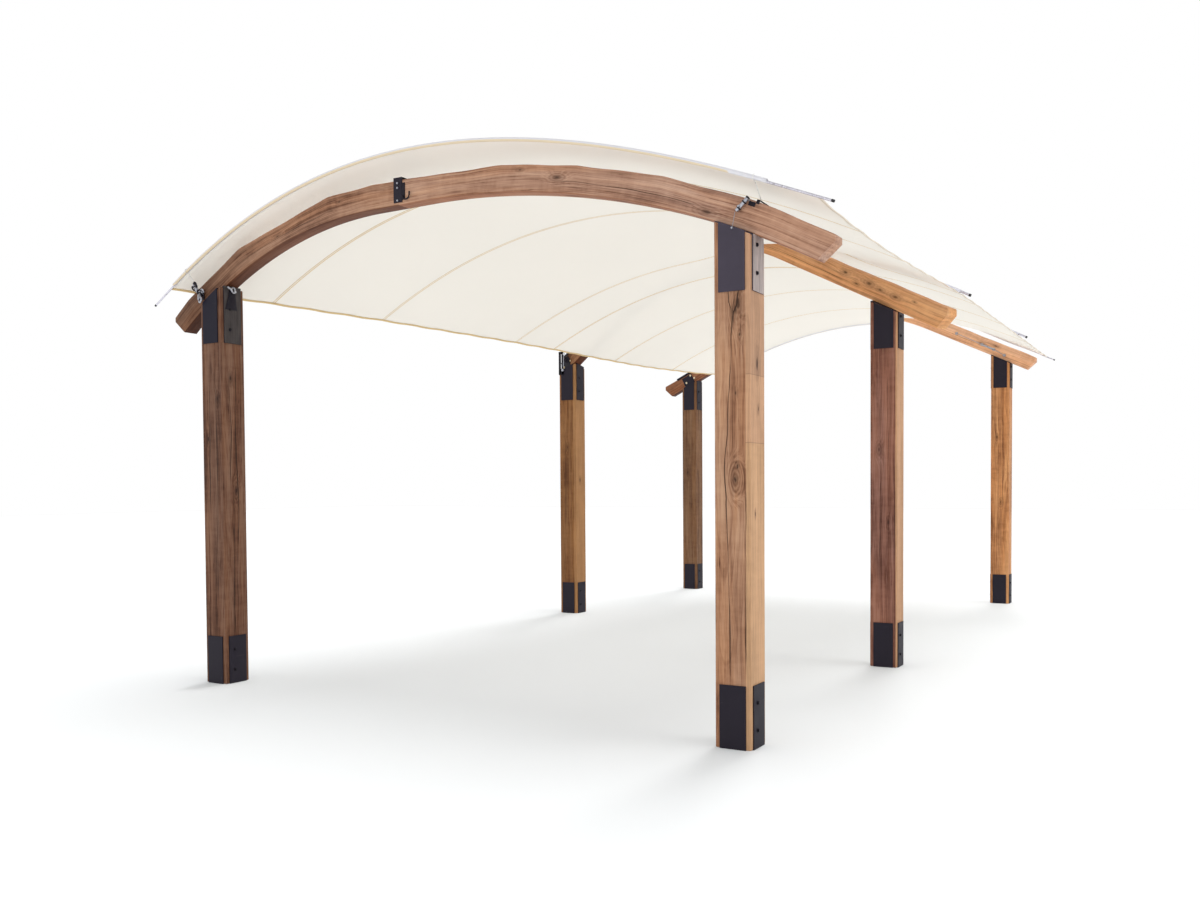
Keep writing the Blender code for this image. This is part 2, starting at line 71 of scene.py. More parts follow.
# Arches: crown, level part, seats on the posts, reach of the tails, joint, and the knees of the hewn top
FRONT = dict(
    ends=("front_left", "front_right"), crown=2.815, level=(-0.450, -0.080), straight_legs=False,
    seats=(2.450, 2.430), reach=(2.160, 2.255), split=-0.260,
    knees=(-2.30, -1.95, -1.50, -0.79, -0.45, 0.42, 0.88, 1.35, 1.80, 2.40),
)
MIDDLE = dict(
    ends=("middle_left", "middle_right"), crown=3.160, level=(0, 0), straight_legs=True,
    seats=(2.380, 2.450), reach=(2.045, 2.477), split=0.0,
    knees=(-2.2, -0.68, -0.34, 0.0, 0.32, 0.63, 0.95, 2.6),
)
REAR = dict(
    ends=("rear_left", "rear_right"), crown=3.140, level=(0, 0), straight_legs=True,
    seats=(2.450, 2.530), reach=(2.110, 2.110), split=0.0,
    knees=(-2.2, -0.68, -0.34, 0.0, 0.33, 0.66, 0.99, 2.2),
)

# Sail, in metres: the same driving sizes as the solid
SAIL_END_Y = 3.565
SAIL_RIGHT_X = 2.200
SAIL_RIGHT_Z = 2.450
SAIL_RIGHT_REAR_Z = 2.540
SAIL_RIGHT_RISE_RUN = 0.500
SAIL_RIGHT_LIFT = 0.050
SAIL_RIGHT_RUN = 0.250
SAIL_LEFT_FRONT = (-2.130, 2.516)
SAIL_LEFT_INNER = (-1.505, 2.478)
SAIL_LEFT_REAR = (-1.450, 2.565)
SAIL_LEFT_RUN = 0.600
SAIL_CROWN_FRONT = 3.082
SAIL_CROWN_MIDDLE = 2.990
SAIL_CROWN_REAR = 3.030
SAIL_SKEW = 0.180
SAIL_SKEW_RUN = 0.350
MIDDLE_RIDGE = (0.165, 1.000, 0.850)
REAR_RIDGE = (0.090, 1.100, 0.800)
RIDGE_FLAT = 0.080
RIDGE_SPREAD = 0.400
# The cloth is cut a little tighter round the beams than the solid's slots
SLOT_CLEARANCE = 0.002
MIDDLE_SLOT = (0.545, 1.025)
REAR_SLOT = (0.545, 1.215)
SEAM_Y = (-2.890, -2.000, -0.545, 0.000, 1.080, 2.320)
EAVE_ROD_Y = (-0.650, 1.770)
EAVE_ROD_INNER_X = 1.780
ROD = 0.009
BATTEN_Y = SAIL_END_Y + ROD + GAP

# The photograph's frame and the camera that was fitted to the posts' feet and heads
PHOTO_WIDE = 1200
PHOTO_HIGH = 904
FOCAL_PIXELS = 1054.1
PRINCIPAL_X = 613.3
PRINCIPAL_Y = 516.9


def blend(low, high, t):
    return low + (high - low) * t


def middle_of(node):
    low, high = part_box(node)
    return (low + high) / 2


def by(point, x, y, z):
    """A point moved by a step."""
    return point + Vector((x, y, z))


def shade(colour, factor):
    return [part * factor for part in colour]


def tinted(colour, tint):
    return [part * share for part, share in zip(colour, tint)]


def blend_colours(first, second, share):
    return tuple(blend(one, other, share) for one, other in zip(first, second))


# ---------------------------------------------------------------- shader tools


def sign(operation, swapped=False):
    """The method behind an arithmetic sign on a Term."""

    def method(self, *others):
        values = (self, *others)
        return self.math(operation, *(values[::-1] if swapped else values))

    return method


class Term:
    """A value in a material. An expression on it adds the Math nodes."""

    def __init__(self, recipe, socket):
        self.recipe, self.socket = recipe, socket

    def math(self, operation, *values):
        """A Math node on these values, or on this one alone."""
        return self.recipe.node("ShaderNodeMath", {"operation": operation}, dict(enumerate(values or (self,))))

    __add__ = __radd__ = sign("ADD")
    __mul__ = __rmul__ = sign("MULTIPLY")
    __sub__ = sign("SUBTRACT")
    __rsub__ = sign("SUBTRACT", swapped=True)
    __pow__ = sign("POWER")
    __abs__ = sign("ABSOLUTE")


def folded(operation, terms):
    """Many values made one by a Math operation, or None where there are none."""
    total = None
    for term in terms:
        total = term if total is None else term.math(operation, total, term)
    return total


class Recipe:
    """The nodes of a new material or world, and the one method that adds every node."""

    def __init__(self, owner):
        owner.use_nodes = True
        self.owner = owner
        self.tree = owner.node_tree
        self.shader = self.tree.nodes.get("Principled BSDF")

    def feed(self, socket, value):
        """Links a Term to a socket, or sets a constant on it."""
        if isinstance(value, Term):
            self.tree.links.new(value.socket, socket)
        else:
            socket.default_value = value

    def node(self, kind, settings=None, links=None, out=0):
        made = self.tree.nodes.new(kind)
        for key, value in (settings or {}).items():
            if key == "stops":
                self.set_stops(made.color_ramp, value)
            else:
                setattr(made, key, value)
        for key, value in (links or {}).items():
            self.feed(made.inputs[key], value)
        return Term(self, made.outputs[out])

    @staticmethod
    def set_stops(ramp, stops):
        while len(ramp.elements) < len(stops):
            ramp.elements.new(0.5)
        for element, (place, colour) in zip(ramp.elements, stops):
            element.position = place
            element.color = (*colour, 1.0)

    def set(self, **values):
        """Feeds the Principled shader and gives back the finished material."""
        for key, value in values.items():
            self.feed(self.shader.inputs[key.replace("_", " ")], value)
        return self.owner

    def object_place(self, origin=(0.0, 0.0, 0.0)):
        return self.moved(self.node("ShaderNodeTexCoord", out="Object"), shade(origin, -1))

    def moved(self, vector, shift=(0, 0, 0), scale=(1, 1, 1)):
        return self.node("ShaderNodeMapping", links={"Vector": vector, "Location": shift, "Scale": scale})

    def attribute(self, name):
        return self.node("ShaderNodeAttribute", {"attribute_name": name}, out="Vector")

    def parts(self, vector):
        split = self.node("ShaderNodeSeparateXYZ", links={0: vector}).socket.node
        return [Term(self, output) for output in split.outputs]

    def joined(self, x, y, z):
        return self.node("ShaderNodeCombineXYZ", links={0: x, 1: y, 2: z})

    def noise(self, vector, scale, detail=3.0, roughness=0.55):
        links = {"Vector": vector, "Scale": scale, "Detail": detail, "Roughness": roughness}
        return self.node("ShaderNodeTexNoise", links=links, out="Fac")

    def step(self, value, low, high, at_low=0.0, at_high=1.0, how="SMOOTHSTEP"):
        links = {0: value, 1: low, 2: high, 3: at_low, 4: at_high}
        return self.node("ShaderNodeMapRange", {"interpolation_type": how}, links)

    def ramp(self, value, stops):
        return self.node("ShaderNodeValToRGB", {"stops": stops}, {0: value})

    def mix(self, factor, first, second, how="MIX"):
        first, second = (value if isinstance(value, Term) else (*value, 1.0) for value in (first, second))
        settings = {"data_type": "RGBA", "blend_type": how}
        return self.node("ShaderNodeMix", settings, {0: factor, 6: first, 7: second}, out=2)

    def bump(self, height, strength, distance):
        return self.node("ShaderNodeBump", links={"Height": height, "Strength": strength, "Distance": distance})


def recipe(name):
    return Recipe(bpy.data.materials.new(name))


# ------------------------------------------------------------------- finishes

# How much longer a knot is along the grain, and the pitch of the rings round it
KNOT_STRETCH = 0.42
KNOT_RINGS = 560.0


def timber(
    name, look, tint, origin=None, seed=0.0, pith=(0.10, 0.16), cracks=(), knots=(), sapwood=(), fade=None,
    underside=None, joints=(), contrast=1.0,
):
    """Oiled chestnut with its grain along local Z: of the object, or of the beam's own grain attribute.

    The tint goes over the shared timber colours.
    A knot is (x or y, its place across, its place along, radius, swirl round it);
    a crack is (x or y, its way as places (along, across), how broad against a fine one);
    sapwood is (x or y, where it starts, which way it lies, tint), with joints (along, tint above it);
    fade is (from, to, tint) along the timber, and underside a tint of painted shade for the lowest edge of a beam.
    """
    dark, mid, light = (tinted(colour, tint) for colour in (look.dark, look.mid, look.light))
    r = recipe(name)
    place = r.attribute("grain") if origin is None else r.object_place(origin)
    x, y, z = r.parts(place)
    moved = r.moved(place, (0.0, 0.0, seed))

    def layer(shift, scale, detail=3.0, roughness=0.6):
        return r.noise(r.moved(moved, shift, scale), 1.0, detail, roughness)

    drift = layer((0, 0, 0), (3.1, 3.1, 0.80), roughness=0.55) - 0.5
    sway = layer((3.7, 1.9, 0), (2.6, 2.6, 1.1), roughness=0.55) - 0.5
    ragged = layer((9, 2, 0), (60, 60, 22), roughness=0.55) - 0.5
    swells, rings, hearts, halos = [], [], [], []
    for side, across, along, size, swirl in knots:
        off = (x if side == "x" else y) - across
        rise = (z - along) * KNOT_STRETCH
        away = (off * off + rise * rise) ** 0.5
        wave = (away + ragged * size * 0.7 + sway * 0.030) * KNOT_RINGS
        swells.append(r.step(away, size * 0.6, size * 5.0, size * swirl, 0.0))
        rings.append(wave.math("SINE") * r.step(away, size * 0.8, size * 5.0, swirl * 0.038, 0.0))
        hearts.append(r.step(away + ragged * size * 1.3, size * 0.25, size, 1.0, 0.0))
        halos.append(r.step(away + ragged * size * 2.0, size * 0.8, size * 3.2, 1.0, 0.0))
    swell, heart, halo = folded("ADD", swells), folded("MAXIMUM", hearts), folded("MAXIMUM", halos)
    off_x = x - pith[0] + drift * 0.07 + z * 0.006
    off_y = y - pith[1] + sway * 0.07
    radius = (off_x * off_x + off_y * off_y) ** 0.5
    if knots:
        radius = radius + swell
    bands = r.noise(r.joined(radius * 70.0, z * 0.40, seed), 1.0, 5.0, 0.72)
    lines = r.noise(r.joined(radius * 300.0, z * 0.9, seed + 4.0), 1.0, 2.0, 0.60)
    streak = layer((2, 6, 0), (52, 52, 1.0))
    fibre = layer((0, 0, 0), (190, 190, 5.0), roughness=0.65)
    figure = layer((8, 3, 0), (9, 9, 26), detail=2.0)
    blotch = layer((1, 7, 0), (7.0, 7.0, 1.6))
    dashes = r.step(layer((5, 5, 0), (95, 95, 6.0)), 0.60, 0.70)
    warmth = layer((11, 4, 0), (10, 10, 0.9))
    tone = (bands - 0.5) * 1.00 + (streak - 0.5) * 0.50 + (fibre - 0.5) * 0.75 + (lines - 0.5) * 0.35
    tone = tone + (blotch - 0.5) * 0.85 + (figure - 0.5) * 0.25 - dashes * 0.18
    if knots:
        tone = tone + folded("ADD", rings)
    tone = tone * contrast + 0.50
    colour = r.ramp(tone, [(0.02, shade(dark, 0.45)), (0.25, dark), (0.50, mid), (0.82, light)])
    colour = r.mix(r.step(warmth, 0.40, 0.62), colour, (1.06, 0.97, 0.86), "MULTIPLY")
    if fade:
        low, high, faded = fade
        colour = r.mix(r.step(z, low, high), colour, faded, "MULTIPLY")
    for side, start, towards, share in sapwood:
        sap = tinted(look.sap, share)
        edge = ((x if side == "x" else y) - start) * towards + (bands - 0.5) * 0.010 + sway * 0.012
        pale = r.mix(r.step(tone, 0.10, 0.85), shade(sap, 0.78), shade(sap, 1.20))
        for along, above in joints:
            pale = r.mix(r.step(z, along, along + 0.002), pale, above, "MULTIPLY")
            pale = r.mix(r.step(abs(z - along), 0.0008, 0.0022, 0.45, 0.0), pale, shade(dark, 0.6))
        colour = r.mix(r.step(edge, -0.0015, 0.0025), colour, pale)
    height = fibre * 0.5 + bands * 0.5 + lines * 0.3
    if knots:
        ring = r.noise(r.joined(swell * 420.0, seed, 0.0), 1.0, 2.0)
        colour = r.mix(halo * (ring * 0.4 + 0.20), colour, shade(dark, 0.62))
        colour = r.mix(heart * (ring * 0.5 + 0.55), colour, shade(dark, 0.26))
        height = height - heart * 0.7
    splits = []
    for side, way, broad in cracks:
        lowest, first = way[0]
        highest = way[-1][0]
        wander = r.noise(r.joined(seed + first * 40, z * 7.0, 2.0), 1.0, 4.0) - 0.5
        path = wander * 0.009 + first
        for (low, at), (high, then) in zip(way, way[1:]):
            path = path + r.step(z, low, high, 0.0, then - at)
        width = r.step(r.noise(r.joined(z * 3.0, seed, first), 1.0, 3.0), 0.30, 0.70, 0.0007 * broad, 0.0028 * broad)
        line = r.step(abs((x if side == "x" else y) - path), width * 0.4, width, 1.0, 0.0)
        splits.append(line * r.step(z, lowest, lowest + 0.15) * r.step(z, highest - 0.10, highest, 1.0, 0.0))
    if cracks:
        split = folded("MAXIMUM", splits)
        colour = r.mix(split * 0.88, colour, shade(dark, 0.14))
        height = height - split * 2.0
    # Painted shade: the lowest 5 mm of a beam darkened by the underside tint
    if underside:
        colour = r.mix(r.step(y, 0.0, 0.0050, 1.0, 0.0), colour, underside, "MULTIPLY")
    r.set(Base_Color=colour, Roughness=r.step(tone, 0.1, 0.9, 0.68, 0.54))
    return r.set(IOR=1.45, Specular_IOR_Level=0.22, Normal=r.bump(height, 0.50, 0.0015))


def dark_steel(name, colour, pale_from=None, pale_side=None):
    """Powder-coated steel: a matt skin with faint orange peel and rubbed marks, pale past an X if one is given."""
    r = recipe(name)
    place = r.object_place()
    cloud = r.noise(place, 9.0, 4.0, 0.6)
    paler = r.step(r.noise(r.moved(place, scale=(3, 3, 38)), 1.0, 4.0, 0.7), 0.62, 0.80)
    grit = r.noise(place, 520.0, 2.0, 0.5)
    base = r.mix(cloud, shade(colour, 0.78), shade(colour, 1.25))
    base = r.mix(paler * 0.22, base, (0.09, 0.085, 0.09))
    # Past the given X the skin takes a paler colour, mottled by noise
    if pale_from is not None:
        mask = r.step(r.parts(place)[0], pale_from - 0.0004, pale_from)
        pale_mottle = r.noise(r.moved(place, scale=(60, 60, 6)), 1.0, 4.0, 0.7)
        pale = r.ramp(pale_mottle, [(0.3, shade(pale_side, 0.62)), (0.7, shade(pale_side, 1.30))])
        base = r.mix(mask * r.step(cloud, 0.20, 0.5, 0.75, 1.0), base, pale)
    r.set(Base_Color=base, Roughness=cloud * 0.22 + 0.46 - paler * 0.10, Metallic=0.0, Specular_IOR_Level=0.22)
    return r.set(Normal=r.bump(grit * 0.35 + cloud * 0.65, 0.25, 0.0006))


def bright_steel(name, tint, dull=0.30):
    """Zinc-plated steel: cloudy spangle and a little tarnish."""
    r = recipe(name)
    place = r.object_place()
    spangle = r.node("ShaderNodeTexVoronoi", links={"Vector": place, "Scale": 140.0}, out="Distance")
    cloud = r.noise(place, 30.0, 4.0, 0.6)
    dirt = r.step(r.noise(place, 70.0, 4.0, 0.65), 0.52, 0.75)
    base = r.mix(spangle, shade(tint, 0.85), [min(1.0, part) for part in shade(tint, 1.15)])
    base = r.mix(dirt * 0.45, base, (0.16, 0.13, 0.11))
    r.set(Base_Color=base, Roughness=cloud * 0.25 + dull + dirt * 0.2, Metallic=0.92)
    return r.set(Normal=r.bump(cloud * 0.5 + spangle * 0.5, 0.15, 0.0005))


def canvas(name, colour, sheer, weave=1.0, band=None):
    """Woven shade cloth that glows with the light behind it; its weave follows the cut of the cloth.

    A band is (a colour, how far along X it reaches): the part of a sleeve that its attribute marks.
    """
    r = recipe(name)
    across = r.node("ShaderNodeUVMap", {"uv_map": "cloth"})
    u, v, _ = r.parts(across)
    warp, weft = ((side * 2600.0).math("SINE") * 0.5 + 0.5 for side in (u, v))
    slub = r.noise(r.moved(across, scale=(180, 9, 1)), 1.0, 3.0, 0.6)
    slub = slub + r.noise(r.moved(across, (3, 3, 0), (9, 180, 1)), 1.0, 3.0, 0.6)
    cloud = r.noise(r.moved(across, scale=(0.9, 0.9, 1)), 1.0, 3.0, 0.5)
    base = r.mix(r.step(cloud, 0.3, 0.7), shade(colour, 0.985), colour)
    base = r.mix(slub * 0.07, base, shade(colour, 0.90))
    if band:
        tape, reach = band
        marked = r.parts(r.attribute("band"))[0] * r.step(u, reach - 0.12, reach, 1.0, 0.0)
        base = r.mix(r.step(marked, 0.4, 0.6), base, r.mix(slub * 0.10, tape, shade(tape, 0.85)))
    bump = r.bump((warp * weft) * 0.6 * weave + slub * 0.35, 0.30, 0.0005)
    r.set(Base_Color=base, Roughness=slub * 0.10 + 0.76, Normal=bump)
    r.set(Sheen_Weight=0.10, Sheen_Roughness=0.6, Specular_IOR_Level=0.20)
    glow = r.node("ShaderNodeBsdfTranslucent", links={"Color": base, "Normal": bump})
    both = r.node("ShaderNodeMixShader", links={0: sheer, 1: Term(r, r.shader.outputs[0]), 2: glow})
    r.feed(r.tree.nodes["Material Output"].inputs["Surface"], both)
    return r.owner


def plain_black(name):
    """Moulded black plastic, for the rods' end caps."""
    r = recipe(name)
    place = r.object_place()
    cloud = r.noise(place, 25.0)
    r.set(Base_Color=r.mix(cloud, (0.010, 0.010, 0.012), (0.030, 0.028, 0.030)))
    return r.set(Roughness=cloud * 0.2 + 0.38, Normal=r.bump(r.noise(place, 400.0, 2.0), 0.2, 0.0004))


def paper_floor(name, colour):
    """Matt studio floor with the faintest mottling."""
    r = recipe(name)
    cloud = r.noise(r.object_place(), 0.35)
    return r.set(Base_Color=r.mix(cloud, shade(colour, 0.985), colour), Roughness=0.9, Specular_IOR_Level=0.1)


# ------------------------------------------------------------------- geometry


class Arch:
    """A curved beam over two posts: the same curve as the solids. s runs along it, 0 halfway."""

    def __init__(self, name, ends, crown, level, straight_legs, seats, reach, split, knees):
        self.name, self.crown, self.level, self.reach = name, crown, level, reach
        self.split, self.knees = split, knees
        left, right = (middle_of("post_" + end).xy for end in ends)
        self.middle = (left + right) / 2
        self.along = (right - left).normalized()
        self.across = Vector((-self.along.y, self.along.x))
        self.half = (right - left).length / 2
        fit = self.fit_leg if straight_legs else self.fit_arc
        self.sides = {-1: fit(self.half + level[0], seats[0]), 1: fit(self.half - level[1], seats[1])}

    def fit_leg(self, run, seat):
        """(radius, start of the straight leg) of a side that ends in a straight leg."""
        curve = math.sin(LEG_ANGLE) * math.tan(LEG_ANGLE) - 1 + math.cos(LEG_ANGLE)
        radius = (run * math.tan(LEG_ANGLE) - (self.crown - seat - GAP)) / curve
        return radius, radius * math.sin(LEG_ANGLE)

    def fit_arc(self, run, seat):
        """(radius, no leg) of a side that is one arc down to its seat and past it."""
        stand_off = CURVED_SEAT
        for _ in range(4):
            rise = self.crown - seat - stand_off
            radius = (run**2 + rise**2) / (2 * rise)
            stand_off = CURVED_SEAT + radius**2 / (radius**2 - run**2) ** 1.5 * PLATE_FACE**2 / 2
        return radius, 2 * run

    def side_at(self, s):
        """(side, run along it, radius, start of the leg) at s; the run is 0 on the level part."""
        side = -1 if s < self.level[0] else 1
        run = max(0, self.level[0] - s if side < 0 else s - self.level[1])
        return side, run, *self.sides[side]

    def tilt(self, s):
        side, run, radius, leg_start = self.side_at(s)
        return side * (LEG_ANGLE if run > leg_start else math.asin(run / radius))

    def bottom(self, s):
        _, run, radius, leg_start = self.side_at(s)
        if run <= leg_start:
            return self.crown - radius + math.sqrt(radius**2 - run**2)
        fall = self.crown - radius * (1 - math.cos(LEG_ANGLE))
        return fall - (run - leg_start) * math.tan(LEG_ANGLE)

    def point(self, s, above=0.0):
        angle = self.tilt(s)
        return s + above * math.sin(angle), self.bottom(s) + above * math.cos(angle)

    def place(self, s, above=0.0, side=0.0):
        """World position of a point of the beam: along it, over its underside and beside its middle."""
        run, z = self.point(s, above)
        return Vector((*(self.middle + self.along * run + self.across * side), z))

    def frame_at(self, s, above=0.0, side=0.0):
        """Axes at a point of the beam: X along it towards the right, Y across it, Z square to its top."""
        angle = self.tilt(s)
        run = by((self.along * math.cos(angle)).to_3d(), 0, 0, -math.sin(angle))
        up = by((self.along * math.sin(angle)).to_3d(), 0, 0, math.cos(angle))
        turn = Matrix((run, self.across.to_3d(), up)).transposed()
        return Matrix.Translation(self.place(s, above, side)) @ turn.to_4x4()


def arches():
    return Arch("front_arch", **FRONT), Arch("middle_arch", **MIDDLE), Arch("rear_arch", **REAR)


def place_all(work, verts, matrix):
    bmesh.ops.transform(work, matrix=matrix, verts=verts)


def facing(point, ahead):
    """A matrix that stands local Z along a direction at a point."""
    return Matrix.Translation(point) @ Vector(ahead).to_track_quat("Z", "Y").to_matrix().to_4x4()


def edges_of(verts):
    return list(dict.fromkeys(edge for vertex in verts for edge in vertex.link_edges))


def bevelled(work, edges, offset, segments=2):
    """Eases these edges and gives back every vertex joined to them."""
    cut = bmesh.ops.bevel(
        work, geom=edges, offset=offset, segments=segments, affect="EDGES", profile=0.5, material=-1
    )
    found = dict.fromkeys(vertex for face in cut["faces"] for vertex in face.verts)
    todo = list(found)
    while todo:
        for edge in todo.pop().link_edges:
            for vertex in edge.verts:
                if vertex not in found:
                    found[vertex] = None
                    todo.append(vertex)
    return list(found)


def add_box(work, size, centre, ease):
    """A box in a bmesh, its edges eased; returns its vertices."""
    made = bmesh.ops.create_cube(work, size=1.0)["verts"]
    bmesh.ops.scale(work, vec=size, verts=made)
    bmesh.ops.translate(work, vec=centre, verts=made)
    return bevelled(work, edges_of(made), ease)


def add_plate(work, size, matrix, ease=0.0008):
    """An eased steel plate whose middle lies at a matrix's origin."""
    place_all(work, add_box(work, size, (0, 0, 0), ease), matrix)


def add_disc(work, radius, height, foot=0.0, sides=24, ease=0.0):
    """An upright cylinder about Z that stands on a level, its rims eased; returns its vertices."""
    made = bmesh.ops.create_cone(
        work, cap_ends=True, segments=sides, radius1=radius, radius2=radius, depth=height
    )["verts"]
    bmesh.ops.translate(work, vec=(0, 0, foot + height / 2), verts=made)
    if ease:
        rims = [edge for edge in edges_of(made) if abs(edge.verts[0].co.z - edge.verts[1].co.z) < 1e-6]
        made = bevelled(work, rims, ease)
    return made


def add_bolt(work, matrix, washer, head, height, foot=0.0, ease=0.0010):
    """A washer with a hexagon head on it, along a matrix's Z."""
    made = add_disc(work, washer, 0.0020, foot, 20, 0.0005)
    made += add_disc(work, head, height, foot + 0.0020, 6, ease)
    place_all(work, made, matrix)


def add_bar(work, start, end, radius, sides=14, ease=0.0):
    """A round bar from one point to another."""
    start, end = Vector(start), Vector(end)
    made = add_disc(work, radius, (end - start).length, 0.0, sides, ease)
    place_all(work, made, facing(start, end - start))


def add_ring(work, centre, axis, radius, wire):
    """A closed ring of round wire, by spinning one circle about the ring's axis."""
    before = set(work.verts)
    made = bmesh.ops.create_circle(work, segments=10, radius=wire)["verts"]
    place_all(work, made, Matrix.Translation((radius, 0, 0)) @ Matrix.Rotation(math.pi / 2, 4, "X"))
    bmesh.ops.spin(
        work, geom=made + edges_of(made), cent=(0, 0, 0), axis=(0, 0, 1), angle=2 * math.pi, steps=22, use_merge=True
    )
    place_all(work, [vertex for vertex in work.verts if vertex not in before], facing(centre, axis))


def sweep(work, points, radius, sides):
    """A round bar along a list of points, by extruding one ring and moving each copy."""
    ring = bmesh.ops.create_circle(work, cap_ends=True, segments=sides, radius=radius)["verts"]
    face = next(iter(set(ring[0].link_faces) & set(ring[1].link_faces)))
    last = None
    for before, point, after in zip([points[0], *points], points, [*points[1:], points[-1]]):
        ahead = (after - before).normalized()
        side = ahead.cross(Vector((0, 0, 1) if abs(ahead.z) < 0.95 else (0, 1, 0))).normalized()
        axes = Matrix((side, side.cross(ahead), ahead)).transposed().to_4x4()
        target = Matrix.Translation(point) @ axes
        if last is None:
            place_all(work, face.verts, target)
        else:
            drawn = bmesh.ops.extrude_face_region(work, geom=[face], use_keep_orig=False)["geom"]
            face = next(item for item in drawn if isinstance(item, bmesh.types.BMFace))
            place_all(work, face.verts, target @ last.inverted())
        last = target


def saw_off(work, point, normal):
    """Cuts off what lies past a plane and closes the cut; returns the edges round it."""
    geometry = work.verts[:] + work.edges[:] + work.faces[:]
    bmesh.ops.bisect_plane(work, geom=geometry, plane_co=point, plane_no=normal, clear_outer=True)
    rim = [edge for edge in work.edges if edge.is_boundary]
    bmesh.ops.holes_fill(work, edges=rim, sides=0)
    return rim


def stand(name, data):
    """A new object in the scene."""
    made = bpy.data.objects.new(name, data)
    bpy.context.scene.collection.objects.link(made)
    return made


def mesh_of(name, work, finish):
    data = bpy.data.meshes.new(name)
    work.to_mesh(data)
    work.free()
    data.materials.append(finish)
    return data


def finish_piece(name, work, finish, angle=35):
    """The bmesh made an object that rides on the pergola, shaded smooth up to an angle."""
    data = mesh_of(name, work, finish)
    data.shade_smooth()
    data.set_sharp_from_angle(angle=math.radians(angle))
    piece = stand(name, data)
    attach(piece, "root")
    return piece


def coat(node, finish):
    """A CAD node's one finish."""
    node.data.materials.clear()
    node.data.materials.append(finish)


# ------------------------------------------------------------------ the sail


def way_back(y):
    return (y + SAIL_END_Y) / (2 * SAIL_END_Y)


def sail_left(y):
    """(x, z) of the sail's left hem."""
    t = way_back(y)
    inward = 1 - (1 - min(t / SAIL_LEFT_RUN, 1)) ** 2
    rearward = max(0.0, (t - SAIL_LEFT_RUN) / (1 - SAIL_LEFT_RUN)) ** 2
    ends = zip(SAIL_LEFT_FRONT, SAIL_LEFT_INNER, SAIL_LEFT_REAR)
    return [blend(blend(front, inner, inward), rear, rearward) for front, inner, rear in ends]


def share_across(x, y):
    """How far across the sail an x lies: 0 at the left hem, 1 at the right."""
    left = sail_left(y)[0]
    return (x - left) / (SAIL_RIGHT_X - left)


def ridge(x, y, ends, rise, crest, run):
    """How far the sail is tented over a beam's right-hand leg."""
    left, right = ends
    along = (right - left).normalized()
    place = Vector((x, y)) - (left + right) / 2
    s = min(abs(place.dot(along) - crest) / run, 1)
    aside = min(max(0, abs(place.x * along.y - place.y * along.x) - RIDGE_FLAT) / RIDGE_SPREAD, 1)
    return rise * (1 - s**2) ** 2 * (1 - aside) ** 2


MIDDLE_LINE = [middle_of("post_" + end).xy for end in MIDDLE["ends"]]
REAR_LINE = [middle_of("post_" + end).xy for end in REAR["ends"]]


def sail_height(x, y):
    """Height of the sail's middle surface."""
    t = way_back(y)
    left_z = sail_left(y)[1]
    frontward = 1 - min(t / SAIL_RIGHT_RUN, 1)
    rearward = min(t / SAIL_RIGHT_RISE_RUN, 1)
    eased = rearward**2 * (3 - 2 * rearward)
    right_z = blend(SAIL_RIGHT_Z, SAIL_RIGHT_REAR_Z, eased) + SAIL_RIGHT_LIFT * frontward**2
    front = SAIL_CROWN_FRONT * (1 - t) * (1 - 2 * t)
    crown = front + SAIL_CROWN_MIDDLE * 4 * t * (1 - t) + SAIL_CROWN_REAR * t * (2 * t - 1)
    u = share_across(x, y)
    skew = SAIL_SKEW * max(0, 1 - t / SAIL_SKEW_RUN) ** 2
    bulge = 4 * u * (1 - u) * (1 + skew * (1 - 2 * u))
    smooth = blend(left_z, right_z, u) + (crown - (left_z + right_z) / 2) * bulge
    return smooth + ridge(x, y, MIDDLE_LINE, *MIDDLE_RIDGE) + ridge(x, y, REAR_LINE, *REAR_RIDGE)


def sail_point(u, y):
    x = blend(sail_left(y)[0], SAIL_RIGHT_X, u)
    return Vector((x, y, sail_height(x, y)))


def lifted(point, lift, step=0.01):
    """A point moved square to the sail's surface under it."""
    x, y, _ = point
    run_x = (sail_height(x + step, y) - sail_height(x - step, y)) / (2 * step)
    run_y = (sail_height(x, y + step) - sail_height(x, y - step)) / (2 * step)
    return point + Vector((-run_x, -run_y, 1)).normalized() * lift


def cloth_length(y, steps=60):
    """Length over the cloth along a line straight across the sail."""
    places = [sail_point(i / steps, y) for i in range(steps + 1)]
    return sum((b - a).length for a, b in zip(places, places[1:]))


# ------------------------------------------------------------------ settings


def tone(name, what, colour):
    return FloatVectorProperty(name=name, description=what, default=colour, subtype="COLOR")


def length(name, what, size):
    return FloatProperty(name=name, description=what, default=size, unit="LENGTH")


def turned(name, what, degrees):
    return FloatProperty(name=name, description=what, default=math.radians(degrees), subtype="ANGLE")


class TimberSettings(bpy.types.PropertyGroup):
    ease: length("Eased edge", "Rounding of the beams' long edges", 0.007)
    rough: length("Hand finish", "How far the sawn faces stray", 0.0018)
    dark: tone("Dark grain", "Colour of the dark grain", (0.205, 0.098, 0.056))
    mid: tone("Body", "Colour of most of the wood", (0.412, 0.224, 0.132))
    light: tone("Pale grain", "Colour of the pale grain", (0.600, 0.370, 0.230))
    sap: tone("Sapwood", "Colour of the golden sapwood", (0.545, 0.328, 0.192))


class SteelSettings(bpy.types.PropertyGroup):
    skin: tone("Powder coat", "Colour of the steel plates", (0.0142, 0.0106, 0.0194))
    bolt: length("Bolt", "Shank radius of the plate bolts", 0.005)


